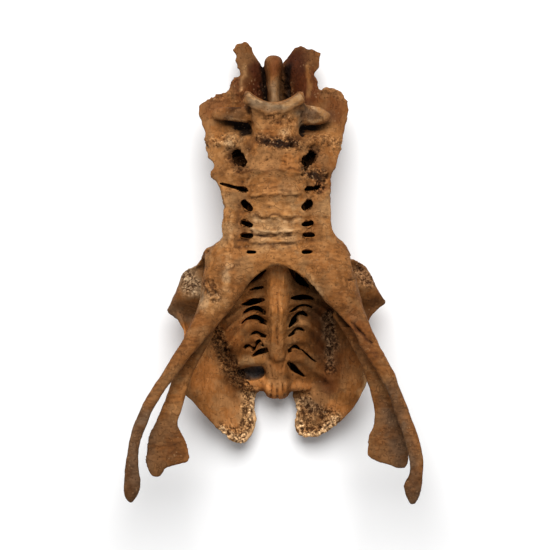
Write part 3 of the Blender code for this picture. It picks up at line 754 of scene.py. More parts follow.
@dataclass
class Web(Part):
    """The ribbed web between the rear vertebrae and the shield, with the slots through it."""

    thickness: float = 5.0
    rib_lift: float = 2.8
    rib_half_height: float = 3.8
    slot_margin: float = 0.5
    slot_reach: tuple[float, float] = (-8, 34)
    profiles: Profiles = (
        (14, (6, 68), (20, 60), (40, 44), (54, 38), (66, 35)),
        (-12, (6, 60), (20, 52), (40, 37), (54, 30), (66, 26)),
        (-40, (6, 52), (20, 46), (40, 33), (54, 23), (66, 18)),
        (-70, (6, 45), (20, 40), (40, 28), (54, 19), (66, 18)),
        (-92, (6, 39), (20, 34), (40, 23), (54, 16), (66, 18)),
        (-114, (6, 31), (18, 26), (34, 16), (52, 13), (66, 19)),
        (-119, (6, 26), (18, 21), (34, 12), (52, 12), (66, 18)),
    )
    left_ribs: tuple[Rows, ...] = (
        ((-9, -4, 3.0), (-20, -9, 3.0), (-34, -20, 2.8), (-47, -30, 1.8)),
        ((-9, -20, 3.2), (-22, -22.5, 3.0), (-36, -26, 2.8), (-50, -34, 1.8)),
        ((-9, -32, 2.0), (-22, -32.6, 1.6), (-34, -36, 1.8), (-50, -47, 1.6)),
        ((-9, -42, 2.8), (-22, -40.5, 2.4), (-34, -45, 2.6), (-50, -58, 1.8)),
        ((-9, -55, 4.6), (-24, -53, 4.4), (-38, -62, 3.8), (-49, -75, 2.2)),
        ((-9, -70, 3.4), (-24, -66.5, 3.2), (-36, -72, 3.2), (-46, -84, 2.0)),
        ((-9, -87, 4.4), (-22, -87.5, 5.0), (-34, -90, 4.4), (-41, -95, 2.6)),
    )
    right_ribs: tuple[Rows, ...] = (
        ((12, -14, 4.0), (24, -18, 3.2), (36, -21, 3.2), (54, -26, 2.6)),
        ((12, -31, 2.6), (26, -29.6, 2.0), (38, -31, 2.2), (56, -42, 2.4)),
        ((11, -40, 2.0), (26, -37, 1.6), (38, -40, 2.0), (56, -56, 2.2)),
        ((11, -54, 3.8), (26, -50, 3.4), (38, -56, 3.6), (56, -74, 2.8)),
        ((11, -68, 4.6), (26, -66, 4.6), (38, -73, 4.6), (54, -92, 3.2)),
        ((11, -85, 4.4), (26, -87, 4.6), (40, -97, 4.4), (54, -108, 3.0)),
    )
    slots: tuple[Rows, ...] = (
        ((-28, -12, 0.4), (-21, -4, 3.0), (-13, 3, 2.4)),
        ((-31, -18.5, 0.3), (-24, -16.5, 1.1), (-17, -15, 0.3)),
        ((-41, -33, 0.2), (-33, -31.5, 2.8), (-24, -29, 3.0), (-15, -27, 0.8)),
        ((-38, -44, 0.2), (-29, -38, 2.2), (-21, -36.5, 3.2), (-12, -39.5, 1.8)),
        ((-39, -55, 0.2), (-31, -48, 1.6), (-22, -45.5, 3.2), (-12, -49, 1.8)),
        ((-31, -64.5, 0.2), (-22, -61, 2.4), (-12, -63, 1.6)),
        ((-36, -80, 0.8), (-31, -75.5, 2.2), (-25, -75.5, 1.4), (-18, -69.5, 1.6), (-13, -73, 0.6)),
        ((-28, -86, 0.4), (-19, -81, 2.8), (-11, -78, 2.4)),
        ((14, 6, 1.0), (21, -3, 3.8), (29, -10.5, 4.4), (39, -17.5, 0.8)),
        ((19, -25, 0.8), (28, -25, 2.7), (36, -26, 2.4), (44, -29, 0.3)),
        ((15, -38.5, 0.3), (25, -33.6, 1.6), (33, -33.5, 1.5), (42, -37, 0.3)),
        ((13, -54, 0.6), (20, -46, 3.0), (28, -41.6, 3.4), (37, -46.5, 0.4)),
        ((14, -62.5, 0.6), (24, -57, 2.0), (34, -60, 0.3)),
        ((14, -78, 1.4), (21, -75.5, 2.4), (29, -80, 0.5)),
        ((29, -80, 0.2), (38, -88, 0.7), (45, -93, 0.2)),
        ((14, -92, 1.2), (22, -99.5, 3.4), (34, -108.5, 0.5)),
    )
    shield_hole: Rows = (
        (-39, -99, 2.5), (-34, -102, 6.4), (-26, -102.5, 8), (-17, -100, 6.6), (-12, -97, 4),
    )
    hole_depth: tuple[float, float] = (14, 75)

    def build(self) -> list[Solid]:
        """Make the web on both sides, with its ribs.

        Returns:
            The walls and the ribs.
        """
        made = []
        for side, ribs in ((-1, self.left_ribs), (1, self.right_ribs)):
            made.append(self.bench.sheet("web", self.profiles, side, self.thickness))
            made += [self.rib(points) for points in ribs]
        return made

    def height(self, x: float, y: float) -> float:
        """How high the middle of the web's wall is.

        Args:
            x: place across the bone.
            y: place along the bone.

        Returns:
            The height there.
        """
        flat = [(place, *np.array(points, float).ravel()) for place, *points in self.profiles]
        line = through(flat, np.array([y])).reshape(-1, 2)
        return float(through([tuple(point) for point in line], np.array([abs(x)]))[0, 0])

    def rib(self, points: Rows) -> Solid:
        """One rounded rib that lies along the web.

        Args:
            points: (x, y, half width) from the vertebrae out to the shield.

        Returns:
            The rib.
        """
        lift, half_height = self.rib_lift, self.rib_half_height
        line = [(x, y, self.height(x, y) + lift, half, half_height) for x, y, half in points]
        return self.bench.bar("rib", tuple(line))

    def cutters(self) -> list[Solid]:
        """Make the blades that cut the slots.

        Returns:
            The blades.
        """
        made = []
        low, high = self.slot_reach
        lift, half_height = (low + high) / 2, (high - low) / 2
        for points in self.slots:
            line = []
            for x, y, half in points:
                line.append((x, y, self.height(x, y) + lift, half + self.slot_margin, half_height))
            made.append(self.bench.bar("slot", tuple(line)))
        return made

    def hole(self) -> Solid:
        """Make what cuts the hole of the shield.

        Returns:
            The cutter.
        """
        low, high = self.hole_depth
        middle, half_height = (low + high) / 2, (high - low) / 2
        line = [(x, y, middle, half, half_height) for x, y, half in self.shield_hole]
        return self.bench.bar("shield_hole", tuple(line))


@dataclass
class Openings(Part):
    """What is cut from the waist: the holes between its bars, the arch's edge and the canal.

    Attributes:
        waist_holes: middle (x, y), half length, half width, turn and floor of each hole.
        hole_tops: heights above the floor at which a hole's plug has rings.
        saddle: height and radius of the spool that hollows the first vertebra's face.
        saddle_middle: the spool's middle (x, y).
        saddle_sides: how many sides the spool has.
        arch_edge: points (x, y) round the opening behind the arch.
        arch_reach: heights between which that opening is cut.
        lip_points: the part of it along the arch, which is cut once more.
        lip_reach: heights between which that is done.
        canal_front: middle (x, y, z) and half sizes of the canal's front end.
        canal_rear: the same of its rear end.
    """

    waist_holes: Rows = (
        (-36.4, 113.6, 9.2, 5.4, 52, 70), (-41.5, 85, 15, 1.7, 16, 79),
        (-28.5, 66.5, 7, 3.2, 42, 79), (-28.8, 48.6, 6.2, 2.4, 20, 79), (-28.8, 36.8, 6.2, 2.2, 0, 79),
        (-24, 20.5, 4.8, 1.8, 0, 80), (33, 113.4, 8.6, 4.8, -56, 70),
        (36, 84, 8, 1.3, -12, 80), (30.8, 67, 6.2, 3.4, -38, 79), (31, 48.6, 6, 2.2, -10, 79),
        (32.4, 37.4, 6, 2.1, 0, 79), (30.5, 20.6, 5, 1.8, 0, 80),
    )
    arch_edge: Rows = (
        (-90, -110), (-75, -76), (-62, -57), (-52, -44), (-40, -31.5), (-33.5, -20.7), (-26.6, -9.9),
        (-20.7, -4), (-14.8, 1), (-7, 6), (1, 8), (9, 6), (16.7, 3), (28.6, -5), (38.4, -13.8),
        (48.3, -27.6), (60, -38.5), (74, -54), (80, -64), (92, -100), (60, -130), (-60, -130),
    )
    hole_tops: tuple[float, float] = (95, 125)
    saddle: Rows = ((57, 37), (66, 36), (80, 33), (94, 35), (108, 37))
    saddle_middle: tuple[float, float] = (-2, 203)
    saddle_sides: int = 48
    arch_reach: tuple[float, float] = (50, 150)
    lip_points: tuple[int, int] = (3, 18)
    lip_reach: tuple[float, float] = (82, 150)
    canal_front: Rows = ((-1, 190, 57, 6.5, 6.5), (-1, 132, 58, 6.5, 6.5))
    canal_rear: Rows = ((1, -135, 25, 3, 3), (1, -108, 27, 3, 3))

    def waist_cutters(self) -> list[Solid]:
        """Make the upright plugs of the holes in the waist.

        Returns:
            The plugs.
        """
        made = []
        for x, y, half_length, half_width, turn, floor in self.waist_holes:
            angle = math.radians(turn)
            ahead = Vector((math.cos(angle), -math.sin(angle), 0)) * half_length
            beside = Vector((math.sin(angle), math.cos(angle), 0)) * half_width
            places = [Vector((x, y, z)) for z in (floor, *self.hole_tops)]
            made.append(self.bench.loft("plug", [(place, ahead, beside, 3.0) for place in places]))
        return made

    def front_cutters(self) -> list[Solid]:
        """Make what cuts the first vertebra's face and the edge of the arch.

        Returns:
            The spool, and the edge.
        """
        sections = []
        for z, radius in self.saddle:
            middle, across = Vector((*self.saddle_middle, z)), Vector((radius, 0, 0))
            sections.append((middle, across, Vector((0, radius, 0)), 2.0, self.saddle_sides))
        edge = self.bench.prism("arch_edge", self.arch_edge, *self.arch_reach)
        return [self.bench.loft("saddle", sections), edge]

    def lip(self) -> Solid:
        """Make what sharpens the edge of the arch.

        Returns:
            The cutter.
        """
        first, last = self.lip_points
        return self.bench.prism("lip", self.arch_edge[first:last], *self.lip_reach)

    def canal(self) -> list[Solid]:
        """The two ends of the canal of the spinal cord."""
        return self.bars("canal_front", "canal_rear")


class Grain(Enum):
    """Kinds of broken or rough surface."""

    SMOOTH = "smooth"
    SPONGY = "spongy"
    CRUMBLED = "crumbled"
    FIBROUS = "fibrous"


@dataclass(frozen=True)
class Stroke:
    """One pull or push along a line on the bone, as seen from above.

    Attributes:
        path: points (x, y) in millimetres.
        width: distance from the line at which it fades out.
        lift: height it adds, or depth if negative.
        grain: the kind of surface that it leaves.
        depth: how deep that surface's pits are.
        low: lowest height at which it works.
        high: greatest height at which it works.
    """

    path: Rows
    width: float
    lift: float = 0.0
    grain: Grain = Grain.SMOOTH
    depth: float = 0.0
    low: float = -20.0
    high: float = 200.0


class Tint(Enum):
    """The bone's colours and those of its painted shade, as linear red, green and blue."""

    TAN = (0.28, 0.128, 0.044)
    PALE = (0.33, 0.17, 0.068)
    CREAM = (0.46, 0.27, 0.13)
    BROWN = (0.178, 0.077, 0.026)
    WARM = (0.22, 0.088, 0.027)
    DARK = (0.03, 0.011, 0.004)
    UMBER = (0.070, 0.029, 0.011)
    MAROON = (0.050, 0.0125, 0.005)
    BLACK = (0.007, 0.004, 0.003)
    RUST = (0.10, 0.030, 0.010)
    GREY = (0.215, 0.138, 0.075)
    AMBER = (0.45, 0.195, 0.066)
    HONEY = (0.62, 0.27, 0.09)
    SHADE = (0.105, 0.057, 0.030)
    SLATE = (0.085, 0.080, 0.084)

    @property
    def opaque(self) -> Row:
        """The colour as a shader's socket takes it."""
        return (*self.value, 1)


@dataclass(frozen=True)
class ColourPatch:
    """One soft patch of colour along a line on the bone, as seen from above: mostly the bone's own
    staining, in some places painted shade and a few painted highlights.

    Attributes:
        path: points (x, y) in millimetres.
        width: distance from the line at which it fades out.
        tint: its colour.
        strength: how much of the colour below it hides.
        low: lowest height it reaches.
        high: greatest height it reaches.
        edge: how sharply it ends.
    """

    path: Rows
    width: float
    tint: Tint
    strength: float = 0.8
    low: float = -20.0
    high: float = 200.0
    edge: float = 1.25


def along(path: Rows, x: np.ndarray, y: np.ndarray) -> np.ndarray:
    """Distance in plan from each place to the nearest point of a line.

    Args:
        path: the line's points (x, y); one point alone is a spot.
        x: places across the bone.
        y: places along the bone.

    Returns:
        The distances.
    """
    ends = path[1:] or path
    least = np.full(len(x), FAR)
    for (x0, y0), (x1, y1) in zip(path, ends):
        run, rise = x1 - x0, y1 - y0
        squared = max(run**2 + rise**2, 1 / FAR)
        t = np.clip(((x - x0) * run + (y - y0) * rise) / squared, 0, 1)
        least = np.minimum(least, np.hypot(x - x0 - t * run, y - y0 - t * rise))
    return least


def eased(value: np.ndarray) -> np.ndarray:
    """A smooth step from 0 to 1."""
    value = np.clip(value, 0, 1)
    return value * value * (3 - 2 * value)


class Surface:
    """The points of a mesh as arrays in millimetres, in the places of the layout."""

    def __init__(self, mesh: bpy.types.Mesh, shift: Vector) -> None:
        """Read a mesh.

        Args:
            mesh: the mesh.
            shift: what is added to its places to give the layout's, in millimetres.
        """
        self.mesh = mesh
        self.shift = np.array(shift)
        count = len(mesh.vertices)
        flat = np.empty(count * 3, np.float32)
        mesh.vertices.foreach_get("co", flat)
        self.places = flat.reshape(-1, 3).astype(float) / MM + self.shift
        mesh.vertex_normals.foreach_get("vector", flat)
        self.normals = flat.reshape(-1, 3).astype(float)
        ends = np.empty(len(mesh.edges) * 2, np.int32)
        mesh.edges.foreach_get("vertices", ends)
        self.first, self.second = ends.reshape(-1, 2).T
        self.links = np.bincount(ends, minlength=count)
        self.seen = self.from_above()

    def from_above(self, reach: float = 2.0, steepest: float = -0.3, start: float = 1.0) -> np.ndarray:
        """Find what is seen from straight above.

        Args:
            reach: how far below that a point may still lie, in millimetres.
            steepest: least upward part of the normals that count.
            start: height from which it is looked at, in metres.

        Returns:
            Whether each point is seen.
        """
        tree = BVHTree.FromPolygons(
            [vertex.co[:] for vertex in self.mesh.vertices],
            [face.vertices[:] for face in self.mesh.polygons],
        )
        down = Vector((0, 0, -1))
        tops = np.full(len(self.places), FAR)
        for i in np.flatnonzero(self.normals[:, 2] > steepest):
            x, y, _ = self.mesh.vertices[i].co
            hit = tree.ray_cast(Vector((x, y, start)), down)[0]
            if hit is not None:
                tops[i] = hit.z
        height = self.places[:, 2] - self.shift[2]
        return height > tops / MM - reach

    def spread(self, values: np.ndarray, times: int) -> np.ndarray:
        """Even out values over neighbouring points.

        Args:
            values: one row for each point.
            times: how many times each point meets its neighbours halfway.

        Returns:
            The evened rows.
        """
        values = values.reshape(len(self.links), -1).copy()
        for _ in range(times):
            for k in range(values.shape[1]):
                column = values[:, k]
                near = np.bincount(self.first, column[self.second], len(column))
                near += np.bincount(self.second, column[self.first], len(column))
                values[:, k] = 0.5 * column + 0.5 * near / self.links
        return values

    def recess(self, times: int) -> np.ndarray:
        """How far each point lies below its surroundings, in millimetres."""
        return ((self.spread(self.places, times) - self.places) * self.normals).sum(axis=1)

    def store(self) -> None:
        """Write the places back to the mesh."""
        flat = ((self.places - self.shift) * MM).astype(np.float32)
        self.mesh.vertices.foreach_set("co", flat.ravel())
        self.mesh.update()

    def keep(self, name: str, values: np.ndarray) -> None:
        """Keep one number or one colour for each point as an attribute.

        Args:
            name: the attribute's name.
            values: the numbers, or the colours in rows.
        """
        if values.ndim == 1:
            layer = self.mesh.attributes.new(name, "FLOAT", "POINT")
            layer.data.foreach_set("value", values.astype(np.float32))
        else:
            layer = self.mesh.attributes.new(name, "FLOAT_COLOR", "POINT")
            full = np.concatenate([values, np.ones((len(values), 1))], axis=1)
            layer.data.foreach_set("color", full.astype(np.float32).ravel())


@dataclass
class Relief:
    """The finer forms of the upper side, worked into the skin one by one.

    Attributes:
        strokes: the forms.
        swell: height of the broad unevenness all over.
        swell_size: its size.
        wear: height of the finer one.
        wear_size: its size.
        unevenness: how much a stroke's lift varies along it.
        uneven_size: the size of that.
        uneven_range: the least and the greatest part of a lift.
        grain_edge: how sharply a rough surface ends.
        cells: sizes of spongy bone's large and small pores.
        pore_depths: their depths.
        rim: height of the walls between them.
        deepest: depth below that at which a pore's floor is flat.
        warp: how far the pores are pushed about.
        warp_size: the size of that.
        patches: mean depth of the large pores, and how much it varies.
        patch_size: the size of that.
        fibre: height of the fibres.
        fibre_size: sizes of the fibres across, along and up.
        crumb: height of the crumbs.
        crumb_size: size of the crumbs.
    """

    strokes: tuple[Stroke, ...] = (
        # ridges where the bodies of the waist join
        Stroke(((-24, 101), (-8, 100), (4, 101.5), (24, 100)), 4, 1.4, low=85),
        Stroke(((-24, 77), (-6, 79), (8, 77.5), (24, 79)), 4, 1.5, low=85),
        Stroke(((-24, 57), (-3, 56), (10, 57.5), (24, 56)), 3.5, 1.4, low=85),
        Stroke(((-22, 44), (-8, 40.5), (6, 40), (24, 43)), 3, 2.0, low=85),
        Stroke(((-24, 30), (0, 32), (24, 30)), 3.4, 1.5, low=85),
        Stroke(((-18, 37), (-6, 36), (18, 37)), 2.4, -1.6, low=85),
        # troughs along both sides of the bodies
        Stroke(((-31, 88), (-31, 24)), 9, -1.8, low=80),
        Stroke(((32, 88), (32, 24)), 9, -1.8, low=80),
        Stroke(((-28, 94), (-36, 90)), 6, -1.6, low=80),
        # fibres, groove and ridges along the rear bodies
        Stroke(((0, 0), (1, -80)), 16, 0.0, Grain.FIBROUS, 0.9, high=85),
        Stroke(((1, -20), (2, -38), (1, -58), (2, -74)), 2.0, -1.1),
        Stroke(((-4.5, -8), (-3, -40), (-3.5, -76)), 2.8, 0.8),
        Stroke(((7, -4), (5.5, -40), (5.5, -76)), 2.8, 0.8),
        Stroke(((-6, -93), (-4, -104)), 1.8, -1.4),
        Stroke(((7, -93), (6, -104)), 1.8, -1.4),
        Stroke(((0, -92), (0.5, -103)), 1.8, 0.7),
        # scalloped end of the last body
        Stroke(((-5, -111), (-6, -128)), 2.0, -3.0),
        Stroke(((1, -112), (1.5, -128)), 1.9, -2.4),
        Stroke(((7.5, -111), (9, -128)), 2.0, -3.0),
        # the bands of spongy bone
        Stroke(((-60, -62), (-54, -80), (-47, -96), (-36, -109)), 12, -1.0, Grain.SPONGY, 4.6, high=60),
        Stroke(((52, -42), (57, -65), (54, -96)), 8, -0.8, Grain.SPONGY, 3.2, high=60),
        Stroke(((-28, -120), (-29, -150), (-38, -168)), 10, -0.8, Grain.SPONGY, 3.8, high=60),
        Stroke(((-38, -164), (-54, -157)), 9, -0.8, Grain.SPONGY, 3.6, high=60),
        Stroke(
            ((28, -128), (29, -158), (46, -158), (58, -146), (42, -140)),
            12, -0.8, Grain.SPONGY, 4.0, high=60,
        ),
        # sides and crumbled rear end of the first body
        Stroke(((-27, 164), (-25, 138)), 4, -2.4, low=60),
        Stroke(((27, 160), (26, 138)), 4, -2.4, low=60),
        Stroke(((-16, 132), (-6, 129), (8, 128), (21, 127)), 8.5, -2.4, Grain.SPONGY, 7.0, low=80),
        Stroke(((-8, 152), (14, 150), (10, 138)), 8, -0.4, Grain.CRUMBLED, 2.4, low=80),
        Stroke(((-24, 112), (24, 112)), 14, 0.0, Grain.FIBROUS, 1.2, low=70),
        Stroke(((-16, 108), (-6, 114), (10, 110), (22, 116)), 2.4, -1.0, low=80),
        # rough places beside the bodies
        Stroke(((32, 99), (48, 97), (42, 84)), 8.5, -2.2, Grain.SPONGY, 6.5, low=60),
        Stroke(((-44, 120), (-36, 106)), 12, -1.6, Grain.CRUMBLED, 4.0, low=50),
        Stroke(((38, 120), (30, 106)), 11, -1.4, Grain.CRUMBLED, 4.0, low=50),
        Stroke(((-38, 132), (-52, 134), (-66, 130)), 9, 0.6, Grain.CRUMBLED, 3.4, low=40),
        Stroke(((34, 132), (48, 134), (62, 128)), 10, 0.4, Grain.CRUMBLED, 3.4, low=40),
        Stroke(((-34, 178), (-46, 174)), 10, 0.0, Grain.CRUMBLED, 2.0, low=30, high=62),
        Stroke(((-60, 176), (-44, 196)), 8, 0.0, Grain.CRUMBLED, 2.2, low=30, high=62),
        Stroke(((46, 184), (60, 184), (70, 174)), 7, 0.0, Grain.CRUMBLED, 2.0, low=30, high=62),
        Stroke(((-50, 74), (-49, 50), (-47, 26)), 9, 0.0, Grain.FIBROUS, 2.2, low=60),
        Stroke(((50, 74), (48, 20)), 9, 0.0, Grain.FIBROUS, 1.6, low=60),
        Stroke(((-66, -12), (-60, -22)), 11, -0.4, Grain.CRUMBLED, 2.8, low=80),
        Stroke(((-88, -4), (-84, -14)), 12, -0.2, Grain.SPONGY, 2.2, low=40, high=80),
        Stroke(((84, 4), (92, -8)), 10, -0.2, Grain.SPONGY, 2.0, low=40, high=80),
        # both sides of the front blades' gap
        Stroke(((9, 200), (11, 184), (14, 176)), 5, 0.0, Grain.CRUMBLED, 4.0, high=60),
        Stroke(((-12, 190), (-20, 178)), 5, 0.0, Grain.CRUMBLED, 3.0, high=60),
        # edges, a crack and pits of the hips
        Stroke(((-48, 20), (-50, 0), (-50, -14)), 7, 0.9, low=80),
        Stroke(((-76, 10), (-74, -24)), 4, -1.2, low=80),
        Stroke(((-68, 21),), 4, -2.4, low=60),
        Stroke(((74, -49), (85, -59), (95, -68)), 2.2, -1.8, low=80),
        Stroke(((75, -50), (82, -56)), 3.4, -1.2, low=80),
        Stroke(((30, -2), (42, -26)), 8, 0.0, Grain.FIBROUS, 1.8, low=80),
        Stroke(((35, 5),), 3, -2.0, low=80),
        Stroke(((59, -12),), 2.6, -1.6, low=80),
        Stroke(((70, -7), (77, -6)), 2.6, -1.8, low=80),
        Stroke(((15, 5),), 2.4, -1.2, low=80),
    )
    swell: float = 0.7
    swell_size: float = 13.0
    wear: float = 0.3
    wear_size: float = 4.5
    unevenness: float = 1.4
    uneven_size: float = 6.0
    uneven_range: tuple[float, float] = (0.1, 1.8)
    grain_edge: float = 2.2
    cells: tuple[float, float] = (6.2, 3.2)
    pore_depths: tuple[float, float] = (1.5, 0.7)
    rim: float = 0.3
    deepest: float = 1.1
    warp: float = 1.8
    warp_size: float = 5.0
    patches: tuple[float, float] = (0.8, 1.5)
    patch_size: float = 11.0
    fibre: float = 0.7
    fibre_size: Row = (2.6, 10.0, 6.0)
    crumb: float = 0.8
    crumb_size: float = 4.5

    def work(self, surface: Surface) -> None:
        """Move the points of the surface, mostly those that are seen from above.

        Args:
            surface: the bone's points.
        """
        x, y, z = surface.places.T
        moved = np.array([
            self.swell * noise.noise(Vector(place) / self.swell_size)
            + self.wear * noise.noise(Vector(place) / self.wear_size)
            for place in surface.places
        ])
        for stroke in self.strokes:
            near = np.flatnonzero(surface.seen & (z > stroke.low) & (z < stroke.high))
            weight = eased(1 - along(stroke.path, x[near], y[near]) / stroke.width)
            near, weight = near[weight > 0], weight[weight > 0]
            uneven = np.array([noise.noise(Vector(surface.places[i]) / self.uneven_size) for i in near])
            moved[near] += weight * stroke.lift * np.clip(1 + self.unevenness * uneven, *self.uneven_range)
            if stroke.grain is not Grain.SMOOTH:
                grain = np.array([self.texture(stroke.grain, surface.places[i]) for i in near])
                moved[near] += np.minimum(1, weight * self.grain_edge) * grain * stroke.depth
        surface.places += surface.normals * moved[:, None]

    def texture(self, grain: Grain, place: np.ndarray) -> float:
        """Height of a rough surface.

        Args:
            grain: the kind of surface.
            place: where, in millimetres.

        Returns:
            The height there, about -1 to 0.3.
        """
        at = Vector(place)
        if grain is Grain.SPONGY:
            at = at + self.warp * noise.noise_vector(at / self.warp_size)
            cells = (noise.voronoi(at / cell)[0] for cell in self.cells)
            large, small = (depth * (far - near) for depth, (near, far, *_) in zip(self.pore_depths, cells))
            mean, swing = self.patches
            patch = max(0.0, mean + swing * noise.noise(at / self.patch_size))
            return self.rim - min(self.deepest, max(patch * large, small))
        if grain is Grain.FIBROUS:
            drawn = Vector([part / size for part, size in zip(at, self.fibre_size)])
            return self.fibre * noise.fractal(drawn, 1.0, 2.0, 3)
        return self.crumb * noise.fractal(at / self.crumb_size, 0.8, 2.1, 3) - 0.1


